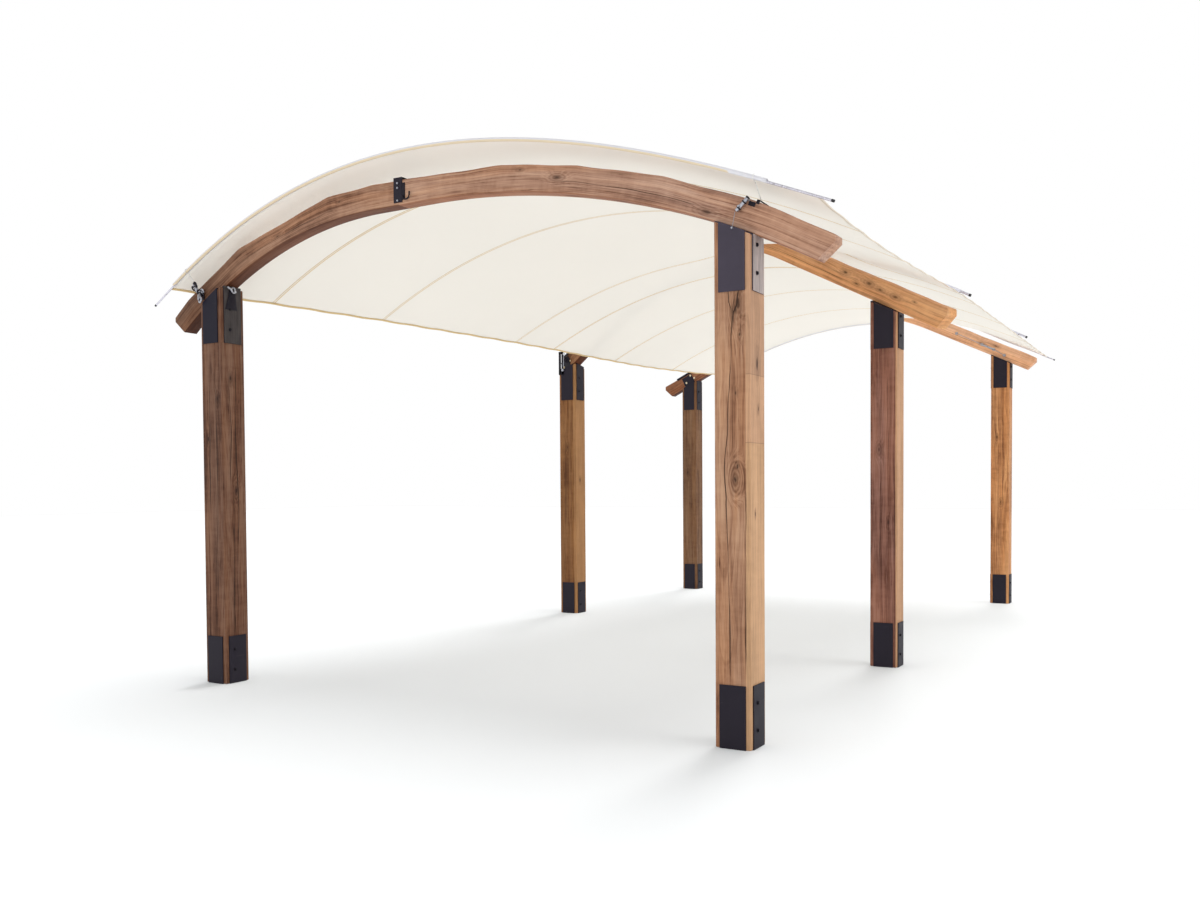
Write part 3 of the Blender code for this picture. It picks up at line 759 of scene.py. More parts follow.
class SailSettings(bpy.types.PropertyGroup):
    cloth: tone("Cloth", "Colour of the sail", (0.920, 0.886, 0.826))
    seam: tone("Seam tape", "Colour of the seams and hems", (0.740, 0.550, 0.280))
    sheer: FloatProperty(
        name="Sheer", description="Share of light that comes through the cloth", default=0.18, subtype="FACTOR"
    )
    thick: length("Thickness", "Thickness of the cloth", 0.0012)
    across: IntProperty(name="Across", description="Faces across the sail", default=140)
    back: IntProperty(name="Along", description="Faces along the sail", default=190)
    tape: length("Tape", "Width of a seam", 0.020)


class StageSettings(bpy.types.PropertyGroup):
    floor: tone("Floor", "Colour of the floor", (0.650, 0.664, 0.670))
    eye: FloatVectorProperty(
        name="Camera", description="Where the camera stands", default=(3.732, -8.074, 1.228), subtype="TRANSLATION"
    )
    heading: turned("Heading", "Turn of the camera to the left of +Y", 29.84)
    pitch: turned("Pitch", "Tip of the camera above the horizon", -1.61)
    roll: turned("Roll", "Roll of the camera", -0.35)


class PergolaSettings(bpy.types.PropertyGroup):
    timber: PointerProperty(type=TimberSettings)
    steel: PointerProperty(type=SteelSettings)
    sail: PointerProperty(type=SailSettings)
    stage: PointerProperty(type=StageSettings)


def settings():
    return bpy.context.scene.pergola


# ------------------------------------------------------------------ operators


class PERGOLA_OT_posts(bpy.types.Operator):
    """Gives each timber post its own wood"""

    bl_idname = "pergola.posts"
    bl_label = "Timber posts"

    # What timber() takes, per post; the pith lies off the post's middle
    LOOKS = {
        "front_right": dict(
            tint=(0.89, 0.85, 0.84), seed=3.1, pith=(-0.03, -0.19),
            cracks=(
                ("x", (
                    (0.30, -0.012), (0.60, -0.014), (0.88, -0.022), (1.16, -0.032), (1.30, -0.040), (1.53, -0.022),
                    (1.90, -0.004), (2.04, 0.004), (2.14, 0.018),
                ), 1.6),
                ("x", ((0.32, 0.066), (1.25, 0.068)), 1.3),
                ("x", ((1.90, 0.000), (2.02, 0.006), (2.08, 0.026), (2.20, 0.046)), 2.6),
                ("x", ((1.93, -0.002), (2.04, -0.004), (2.09, -0.016), (2.20, -0.022)), 1.7),
            ),
            knots=(
                ("x", 0.030, 2.075, 0.015, 1.6), ("x", 0.018, 2.045, 0.012, 0.8), ("x", 0.016, 1.26, 0.013, 4.2),
                ("x", 0.026, 1.32, 0.007, 1.6), ("x", 0.038, 1.93, 0.006, 2.0), ("x", 0.018, 1.66, 0.005, 1.0),
                ("y", -0.005, 1.80, 0.016, 1.2), ("y", 0.010, 1.59, 0.006, 0.8), ("y", -0.030, 1.10, 0.005, 0.8),
            ),
            sapwood=(("x", 0.066, 1, (1.02, 0.99, 0.92)),),
            joints=((1.43, (1.0, 0.98, 1.05)), (1.745, (0.86, 0.86, 0.88))),
        ),
        "middle_right": dict(
            tint=(0.58, 0.48, 0.58), seed=11.7, pith=(-0.10, -0.16),
            cracks=(
                ("x", ((0.60, -0.030), (1.10, -0.016), (1.85, -0.024)), 1), ("x", ((1.30, 0.034), (2.00, 0.028)), 1),
            ),
            knots=(("x", -0.030, 1.47, 0.010, 2.4), ("x", 0.034, 0.98, 0.008, 1.6)),
            sapwood=(("x", 0.080, 1, (0.92, 0.84, 0.77)),),
        ),
        "rear_right": dict(
            tint=(1.24, 1.04, 0.73), seed=19.3, pith=(0.10, -0.16),
            cracks=(("x", ((0.90, 0.030), (2.10, 0.022)), 1),),
            knots=(("x", 0.010, 1.05, 0.010, 2.0), ("x", -0.030, 1.72, 0.009, 1.5)),
        ),
        "front_left": dict(
            tint=(0.36, 0.31, 0.31), seed=27.9, pith=(0.16, -0.05), contrast=1.35,
            cracks=(
                ("x", ((0.50, 0.028), (1.30, 0.040), (2.00, 0.030)), 1.6),
                ("x", ((1.05, -0.030), (1.90, -0.022)), 2.0),
                ("y", ((0.70, 0.012), (1.10, 0.030), (1.55, 0.014), (2.05, 0.022)), 2.2),
                ("y", ((1.20, -0.034), (1.60, -0.022), (1.95, -0.034)), 1.6),
                ("y", ((0.35, -0.020), (1.05, -0.006)), 1.8),
            ),
            knots=(
                ("y", -0.020, 1.93, 0.009, 1.2), ("y", 0.012, 1.22, 0.012, 2.6),
                ("x", 0.050, 1.80, 0.010, 1.4), ("x", -0.040, 1.55, 0.009, 1.6),
            ),
        ),
        "middle_left": dict(
            tint=(0.52, 0.42, 0.26), seed=35.1, pith=(0.12, -0.16),
            cracks=(("x", ((0.80, -0.030), (1.70, -0.022)), 1),),
            knots=(("y", -0.010, 1.30, 0.009, 2.0), ("x", 0.000, 1.62, 0.009, 2.0)),
            sapwood=(("x", 0.066, 1, (0.64, 0.53, 0.36)),),
        ),
        "rear_left": dict(
            tint=(0.445, 0.41, 0.35), seed=43.3, pith=(-0.11, -0.16),
            cracks=(("x", ((0.70, 0.020), (1.90, 0.034)), 1),),
            knots=(("x", -0.020, 1.40, 0.010, 1.6),),
        ),
    }

    def execute(self, context):
        for place, traits in self.LOOKS.items():
            origin = (*middle_of("post_" + place).xy, 0.0)
            coat(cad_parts["post_" + place], timber("timber_" + place, settings().timber, origin=origin, **traits))
        return {"FINISHED"}


class PERGOLA_OT_beams(bpy.types.Operator):
    """Builds the curved beams with eased edges, hewn facets and shaped tails"""

    bl_idname = "pergola.beams"
    bl_label = "Curved beams"

    # Rings of vertices along a length, and how far it runs past its tail before it is cut
    RINGS = 96
    PAST = 0.060
    PITH = (0.02, -0.12)
    # Tint of painted shade for the underside, but for the lengths that the light floor lights up
    UNDERSIDE_SHADE = (0.34, 0.20, 0.13)
    # What timber() takes, per length of beam; the middle and rear right ones have a quieter grain and a tint far
    # paler than their left halves': painted light, for the light that washes over them
    LOOKS = {
        "front_arch_left": dict(
            tint=(0.89, 0.88, 0.93), seed=51.7, fade=(-1.0, -2.0, (0.50, 0.46, 0.42)),
            knots=(("y", 0.070, -1.20, 0.008, 1.4), ("y", 0.095, -0.70, 0.005, 1.0)),
        ),
        "front_arch_right": dict(
            tint=(0.94, 0.94, 1.03), seed=58.3, fade=(0.3, 2.2, (1.07, 1.14, 1.26)), underside=(0.80, 0.62, 0.50),
            knots=(("y", 0.115, 0.55, 0.006, 1.2), ("y", 0.080, 0.78, 0.010, 3.0), ("y", 0.030, 1.62, 0.011, 1.6)),
        ),
        "middle_arch_left": dict(tint=(0.62, 0.50, 0.36), seed=63.1, knots=(("y", 0.075, -1.30, 0.010, 1.5),)),
        # Painted light: a far paler tint and a quieter grain than the left half's
        "middle_arch_right": dict(
            tint=(1.46, 1.36, 1.06), seed=67.9, underside=(1.05, 0.96, 0.90), contrast=0.62,
            knots=(
                ("y", 0.105, 1.58, 0.010, 1.6), ("y", 0.060, 1.70, 0.007, 1.4), ("y", 0.095, 1.80, 0.012, 2.0),
                ("y", 0.085, 1.90, 0.008, 1.8), ("y", 0.080, 2.03, 0.010, 2.2), ("y", 0.100, 2.18, 0.005, 1.0),
            ),
        ),
        "rear_arch_left": dict(tint=(0.60, 0.44, 0.36), seed=71.9),
        # Painted light: a far paler tint and a quieter grain than the left half's
        "rear_arch_right": dict(
            tint=(1.84, 1.94, 2.02), seed=76.3, underside=(1.00, 0.98, 0.96), contrast=0.62,
            knots=(("y", 0.070, 1.55, 0.010, 2.0), ("y", 0.100, 1.68, 0.008, 1.6)),
        ),
    }

    def execute(self, context):
        look = settings().timber
        for arch in arches():
            for side, label in ((-1, "left"), (1, "right")):
                node = f"{arch.name}_{label}"
                # Each length takes the underside's painted shade, unless its look gives a lighter one
                traits = {"underside": self.UNDERSIDE_SHADE, **self.LOOKS[node]}
                crack = ("y", ((side * 1.2 - 0.5, 0.060), (side * 1.2 + 0.4, 0.052)), 1)
                wood = timber("timber_" + node, look, pith=self.PITH, cracks=(crack,), **traits)
                self.half_beam(arch, side, node, wood, look)
        return {"FINISHED"}

    def half_beam(self, arch, side, node, wood, look):
        start = arch.split + side * GAP / 2
        end = side * arch.reach[0 if side < 0 else 1]
        work = bmesh.new()
        verts = bmesh.ops.create_cube(work, size=1.0)["verts"]
        bmesh.ops.scale(work, vec=(1, BEAM_WIDTH, BEAM_DEPTH), verts=verts)
        bmesh.ops.translate(work, vec=(0.5, 0, BEAM_DEPTH / 2), verts=verts)
        bevelled(work, self.long_edges(work), look.ease, 3)
        bmesh.ops.subdivide_edges(work, edges=self.long_edges(work), cuts=self.RINGS, use_grid_fill=True)
        grain = work.verts.layers.float_vector.new("grain")
        for vertex in work.verts:
            t, across, above = vertex.co
            s = blend(start, end + side * self.PAST, t)
            vertex[grain] = (across, above, s)
            vertex.co = arch.place(s, self.hewn(arch, s, above, look), across + self.stray(s, across, look))
        self.cut_tail(work, arch, side, end)
        bmesh.ops.recalc_face_normals(work, faces=work.faces)
        piece = finish_piece("beam_" + node, work, wood, 40)
        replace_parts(piece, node)

    def long_edges(self, work):
        return [edge for edge in work.edges if abs(edge.verts[0].co.x - edge.verts[1].co.x) > 0.5]

    def hewn(self, arch, s, above, look):
        """The height over the underside, with the top worked in straight lengths and a slight hand finish."""
        knees = zip(arch.knees, arch.knees[1:])
        low, high = next((pair for pair in knees if pair[0] <= s <= pair[1]), (s, s))
        chord = blend(arch.bottom(low), arch.bottom(high), (s - low) / max(high - low, GAP))
        sag = max(0.0, arch.bottom(s) - chord) * math.cos(arch.tilt(s))
        wave = look.rough * (math.sin(s * 9.1 + arch.crown) + 0.6 * math.sin(s * 23.7))
        return above - above / BEAM_DEPTH * (sag + look.rough * 1.6 - wave)

    def stray(self, s, across, look):
        """A sideways wander of the beam's faces, inwards only."""
        wave = 0.5 + 0.5 * math.sin(s * 6.3 + across * 20)
        return -math.copysign(look.rough * wave, across)

    def cut_tail(self, work, arch, side, end):
        """Cuts the tail plumb and takes its lower corner off."""
        ahead = (arch.along * side).to_3d()
        s = end
        for _ in range(20):
            s = end - BEAM_DEPTH * math.sin(arch.tilt(s))
        over = arch.point(s, BEAM_DEPTH)[1]
        plumb_foot = Vector((*(arch.middle + arch.along * end), over - END_PLUMB))
        heel = arch.place(end - side * END_BEVEL)
        bevel_normal = (plumb_foot - heel).cross(arch.across.to_3d()).normalized()
        if bevel_normal.dot(ahead) < 0:
            bevel_normal.negate()
        saw_off(work, plumb_foot, ahead)
        saw_off(work, heel, bevel_normal)
        bmesh.ops.remove_doubles(work, verts=work.verts, dist=1e-5)


class PERGOLA_OT_steelwork(bpy.types.Operator):
    """Powder-coats the shoes, head brackets, splices and straps"""

    bl_idname = "pergola.steelwork"
    bl_label = "Steel plates"

    KINDS = (
        "foot_shoe", "head_bracket", "front_arch_splice", "middle_arch_splice", "rear_arch_splice", "middle_strap",
        "rear_strap",
    )
    # The heads of the front posts: tint of the powder coat, and the paler colour of their right side
    PALE_SIDED = {
        "head_bracket_front_right": ((3.85, 4.25, 3.35), (0.42, 0.355, 0.340)),
        "head_bracket_front_left": ((0.50, 0.54, 0.84), (0.054, 0.045, 0.044)),
    }

    def execute(self, context):
        skin = settings().steel.skin
        shared = dark_steel("powder_coated_steel", skin)
        pale_sided = {}
        # Each front head is coloured paler from the outer face of its right side plate on
        for name, (tint, paler) in self.PALE_SIDED.items():
            pale_from = middle_of(name.replace("head_bracket", "post")).x + POST / 2 + PLATE
            label = name.replace("head_bracket", "rubbed_steel")
            pale_sided[name] = dark_steel(label, tinted(skin, tint), pale_from, paler)
        for name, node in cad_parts.items():
            if name.startswith(self.KINDS):
                coat(node, pale_sided.get(name, shared))
        return {"FINISHED"}


class PERGOLA_OT_bolts(bpy.types.Operator):
    """Adds the hexagon bolts and washers through the side plates"""

    bl_idname = "pergola.bolts"
    bl_label = "Plate bolts"

    # Heights of the bolts over the plate's lower edge, and their offset towards the front
    RISES = (0.085, 0.215)
    OFFSET = -0.022

    def execute(self, context):
        radius = settings().steel.bolt
        finish = dark_steel("blackened_bolts", shade(settings().steel.skin, 0.55))
        for place in PLACES:
            centre = middle_of("post_" + place)
            work = bmesh.new()
            levels = [base + rise for base in (0.0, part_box("head_bracket_" + place)[0].z) for rise in self.RISES]
            for z, side in [(z, side) for z in levels for side in (-1, 1)]:
                spot = Matrix.Translation((centre.x + side * PLATE_FACE, centre.y + self.OFFSET, z))
                turn = Matrix.Rotation(side * math.pi / 2, 4, "Y") @ Matrix.Rotation(z * 7.0, 4, "Z")
                add_bolt(work, spot @ turn, radius * 2.1, radius * 1.55, 0.0062, 0.0002, 0.0009)
            finish_piece("bolts_" + place, work, finish, 30)
        return {"FINISHED"}


class PERGOLA_OT_sail(bpy.types.Operator):
    """Cuts and stretches the sail, with its slots, seams, hems and pockets"""

    bl_idname = "pergola.sail"
    bl_label = "Fabric sail"

    # Where each sleeve starts and ends: the battens' ends stand bare past them
    SLEEVES = {-1: (-2.085, 1.960), 1: (-1.440, 2.150)}
    # Thickness against the sail's: a tape over it, a folded hem and a sleeve
    TAPE, HEM, SLEEVE = 2.2, 0.8, 0.6
    HALF_SLOT = BEAM_FACE + SLOT_CLEARANCE

    def execute(self, context):
        look = settings().sail
        cloth = canvas("shade_cloth", look.cloth, look.sheer)
        tape = canvas("seam_tape", look.seam, look.sheer * 0.7, weave=1.4)
        white = canvas("pocket_cloth", (0.84, 0.83, 0.90), look.sheer * 0.6)
        pale = canvas("side_binding", blend_colours(look.cloth, look.seam, 0.30), look.sheer * 0.8)
        band = (blend_colours(look.cloth, look.seam, 0.62), 1.83)
        two_tone = canvas("sleeve_cloth", (0.80, 0.79, 0.83), look.sheer * 0.6, band=band)
        slots = tuple(zip(arches()[1:], (MIDDLE_SLOT, REAR_SLOT)))
        sail = self.cut_sail(look, cloth, slots)
        with_pieces = [self.seam(look.tape, tape, index, y) for index, y in enumerate(SEAM_Y, 1)]
        with_pieces += [self.side_hem(tape, "left", 0.0), self.side_hem(pale, "right", 1.0)]
        with_pieces += [self.batten_sleeve(two_tone, "front", -1), self.batten_sleeve(two_tone, "rear", 1)]
        with_pieces.append(self.end_tape(pale))
        with_pieces += [self.slot_hem(tape, arch, span) for arch, span in slots]
        with_pieces += [self.rod_pocket(white, index, y) for index, y in enumerate(EAVE_ROD_Y, 1)]
        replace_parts(sail, "sail")
        flat_wide = max(cloth_length(y) for y in (-SAIL_END_Y, 0.0, SAIL_END_Y)) + 0.02
        return {"FINISHED"}

    def settle(self, u, y):
        """A point of the cloth with the small pull of its straps, seams and corners."""
        sag = 0.0
        for seam, after in zip((-SAIL_END_Y, *SEAM_Y), (*SEAM_Y, SAIL_END_Y)):
            if seam <= y <= after:
                t = (y - seam) / (after - seam)
                sag = 0.0016 * (after - seam) * 4 * t * (1 - t)
        ripple = 0.0022 * math.exp(-min(u, 1 - u) * 16) * math.sin(y * 21.0)
        return by(sail_point(u, y), 0, 0, ripple - sag)

    def on_cloth(self, x, y):
        return self.settle(share_across(x, y), y)

    def grid(self, along, across, lay, mark=None):
        """A grid of cloth laid by a function of a point's way along, 0 to 1, and across, -0.5 to 0.5."""
        work = bmesh.new()
        bmesh.ops.create_grid(work, x_segments=along, y_segments=across, size=0.5)
        band = mark and work.verts.layers.float_vector.new("band")
        for vertex in work.verts:
            if mark:
                vertex[band] = (float(mark(vertex.co.y)), 0.0, 0.0)
            vertex.co = lay(vertex.co.x + 0.5, vertex.co.y)
        return work

    def sew(self, name, work, finish, layers=1.0, wrapped=False):
        """The piece with a UV map in metres, so that the weave runs true, and its thickness."""
        layer = work.loops.layers.uv.new("cloth")
        for face in work.faces:
            for loop in face.loops:
                loop[layer].uv = loop.vert.co.xy
        if wrapped:
            bmesh.ops.recalc_face_normals(work, faces=work.faces)
        piece = finish_piece(name, work, finish, 60)
        modifier = piece.modifiers.new("cloth_thickness", "SOLIDIFY")
        modifier.thickness = settings().sail.thick * layers
        modifier.offset = 0.0
        return piece

    def cut_sail(self, look, cloth, slots):
        work = self.grid(look.across, look.back, lambda u, v: self.settle(u, v * 2 * SAIL_END_Y))
        for arch, span in slots:
            self.cut_slot(work, arch, span)
        return self.sew("sail_cloth", work, cloth)

    def cut_slot(self, work, arch, span):
        """Cuts the cloth along the four sides of a slot and takes out what lies between them."""
        along, across, centre = arch.along.to_3d(), arch.across.to_3d(), arch.middle.to_3d()

        def within(face, margin):
            """Whether a face's middle lies in the slot, or no further than this past it."""
            off = face.calc_center_median() - centre
            s, aside = off.dot(along), abs(off.dot(across))
            return span[0] - margin < s < span[1] + margin and aside < self.HALF_SLOT + margin

        sides = [(centre + along * s, along) for s in span]
        sides += [(centre + across * w, across) for w in (-self.HALF_SLOT, self.HALF_SLOT)]
        near = [face for face in work.faces if within(face, 0.2)]
        for point, normal in sides:
            geometry = dict.fromkeys(near)
            for face in near:
                geometry.update(dict.fromkeys((*face.edges, *face.verts)))
            cut = bmesh.ops.bisect_plane(work, geom=list(geometry), plane_co=point, plane_no=normal)
            near = [item for item in cut["geom"] if isinstance(item, bmesh.types.BMFace)]
        bmesh.ops.delete(work, geom=[face for face in near if within(face, 0.0)], context="FACES")

    def seam(self, width, tape, index, y):
        def lay(u, v):
            return lifted(self.settle(u, y + v * width), 0.0009 * (1 - (v * 2) ** 2))

        return self.sew(f"seam_{index}", self.grid(120, 4, lay), tape, self.TAPE)

    def side_hem(self, finish, label, edge):
        """The folded hem along the left or right side: a flattened roll of cloth over the edge."""
        width = 0.017 if edge == 0 else -0.017

        def lay(u, v):
            y, around = blend(-SAIL_END_Y, SAIL_END_Y, u), abs(2 * v)
            rim = blend(sail_left(y)[0], SAIL_RIGHT_X, edge)
            point = self.on_cloth(rim + width * (1 - math.sqrt(max(0.0, 1 - around**2))), y)
            return lifted(point, math.copysign(0.0022 * math.sqrt(1 - (1 - around) ** 2), v))

        return self.sew(f"hem_{label}", self.grid(150, 10, lay), finish, self.HEM)

    def batten_sleeve(self, finish, label, side):
        """The pocket in the front or rear hem: cloth wrapped once round the batten and sewn to the sail."""
        radius, wrap = ROD + 0.0012, 0.8

        def lay(u, v):
            x, turn = blend(*self.SLEEVES[side], u), 2 * v
            if abs(turn) > wrap:
                share = (abs(turn) - wrap) / (1 - wrap)
                point = self.on_cloth(x, side * blend(SAIL_END_Y - 0.004, SAIL_END_Y - 0.009, share))
                return lifted(point, math.copysign(blend(0.0042, 0.0012, share), turn))
            angle = turn / wrap * math.radians(150)
            z = sail_height(x, side * SAIL_END_Y) + radius * math.sin(angle)
            return Vector((x, side * (BATTEN_Y + radius * math.cos(angle)), z))

        work = self.grid(130, 30, lay, mark=lambda v: -0.62 < 2 * v < -0.02)
        return self.sew(f"batten_sleeve_{label}", work, finish, self.SLEEVE, wrapped=True)

    def end_tape(self, finish):
        """The flat binding of the front edge past its sleeve, at the right-hand corner."""

        def lay(u, v):
            return self.on_cloth(blend(self.SLEEVES[-1][1], SAIL_RIGHT_X - 0.002, u), 0.006 - SAIL_END_Y + v * 0.011)

        return self.sew("front_end_tape", self.grid(24, 4, lay), finish, self.TAPE)

    def slot_hem(self, finish, arch, span):
        """Bound edge of a slot: a flat tape round its four sides, on the cloth."""
        width, half, close = 0.012, self.HALF_SLOT, 1e-6
        corners = ((span[0], -half), (span[1], -half), (span[1], half), (span[0], half))
        ring = []
        for (s, w), (s_to, w_to), count in zip(corners, (*corners[1:], corners[0]), (44, 4, 44, 4)):
            ring += [(blend(s, s_to, i / count), blend(w, w_to, i / count)) for i in range(count)]
        work = bmesh.new()
        bmesh.ops.create_circle(work, segments=len(ring), radius=1.0)
        rim = set(work.verts)
        bmesh.ops.extrude_edge_only(work, edges=work.edges[:])
        for vertex in work.verts:
            out = 0.0 if vertex in rim else width
            angle = math.atan2(vertex.co.y, vertex.co.x) % (2 * math.pi)
            s, w = ring[round(angle / (2 * math.pi) * len(ring)) % len(ring)]
            out_s = out * ((abs(s - span[1]) < close) - (abs(s - span[0]) < close))
            out_w = math.copysign(out, w) if abs(abs(w) - half) < close else 0
            vertex.co = self.on_cloth(*(arch.middle + arch.along * (s + out_s) + arch.across * (w + out_w)))
        return self.sew(f"slot_hem_{arch.name}", work, finish, self.TAPE, wrapped=True)

    def rod_pocket(self, finish, index, y):
        """A pocket of white webbing over an eave rod, sewn down on both its sides."""
        radius, sewn, wrap = ROD + 0.0030, 0.034, 0.5

        def lay(u, v):
            share = share_across(blend(EAVE_ROD_INNER_X - 0.02, SAIL_RIGHT_X - 0.004, u), y)
            turn = 2 * v
            if abs(turn) > wrap:
                offset = math.copysign(blend(radius, sewn, (abs(turn) - wrap) / (1 - wrap)), turn)
                return lifted(self.settle(share, y + offset), 0.0016)
            angle = turn / wrap * math.radians(90)
            rise = ROD + 0.0045 + radius * math.cos(angle)
            lift = blend(0.0016, rise, math.cos(angle) ** 0.35 if math.cos(angle) > 0 else 0)
            return by(lifted(self.settle(share, y), lift), 0, radius * math.sin(angle), 0)

        return self.sew(f"rod_pocket_{index}", self.grid(24, 14, lay), finish, self.HEM, wrapped=True)


class PERGOLA_OT_rods(bpy.types.Operator):
    """Finishes the battens and eave rods, with slim tips and black end caps"""

    bl_idname = "pergola.rods"
    bl_label = "Battens and rods"

    # Where the battens narrow to their slim tips, a little inside their sleeves
    SHOULDERS = {"front_batten": (-2.080, 1.950), "rear_batten": (-1.435, 2.140)}
    TIP = 0.0060

    def execute(self, context):
        steel = bright_steel("galvanised_tube", (0.70, 0.68, 0.75))
        black = plain_black("black_plastic")
        for name in ("front_batten", "rear_batten", "eave_rod_1", "eave_rod_2"):
            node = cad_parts[name]
            coat(node, steel)
            corners = [vertex.co for vertex in node.data.vertices]
            ends = [corner.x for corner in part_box(name)]
            if name in self.SHOULDERS:
                self.caps(name, corners, ends, self.TIP, black)
                self.slim(name, corners, ends, steel)
            else:
                self.caps(name, corners, ends[1:], ROD, black)
        return {"FINISHED"}

    def slim(self, name, corners, ends, steel):
        """The batten as it shows: full size inside its sleeve, with a narrower tip at each end."""
        work = bmesh.new()
        work.from_mesh(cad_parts[name].data)
        bmesh.ops.remove_doubles(work, verts=work.verts, dist=1e-5)
        for shoulder, end, side in zip(self.SHOULDERS[name], ends, (-1, 1)):
            rim = saw_off(work, (shoulder, 0, 0), (side, 0, 0))
            root = sum(((edge.verts[0].co + edge.verts[1].co) / 2 for edge in rim), Vector()) / len(rim)
            add_bar(work, by(root, side * -0.010, 0, 0), self.middle_near(corners, end, 0.012), self.TIP, 14)
        piece = finish_piece("slim_" + name, work, steel, 50)
        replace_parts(piece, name)

    def caps(self, name, corners, ends, radius, black):
        """A rounded cap over each end of the rod that stands clear of the cloth."""
        work = bmesh.new()
        for x in ends:
            tip = self.middle_near(corners, x, 0.012)
            inner = self.middle_near(corners, x - math.copysign(0.10, x), 0.045)
            cap = add_disc(work, radius + 0.0008, 0.016, -0.013, 20, 0.0025)
            place_all(work, cap, facing(tip, tip - inner))
        finish_piece("caps_" + name, work, black, 50)

    def middle_near(self, corners, x, reach):
        near = [corner for corner in corners if abs(corner.x - x) < reach]
        return sum(near, Vector()) / max(len(near), 1)


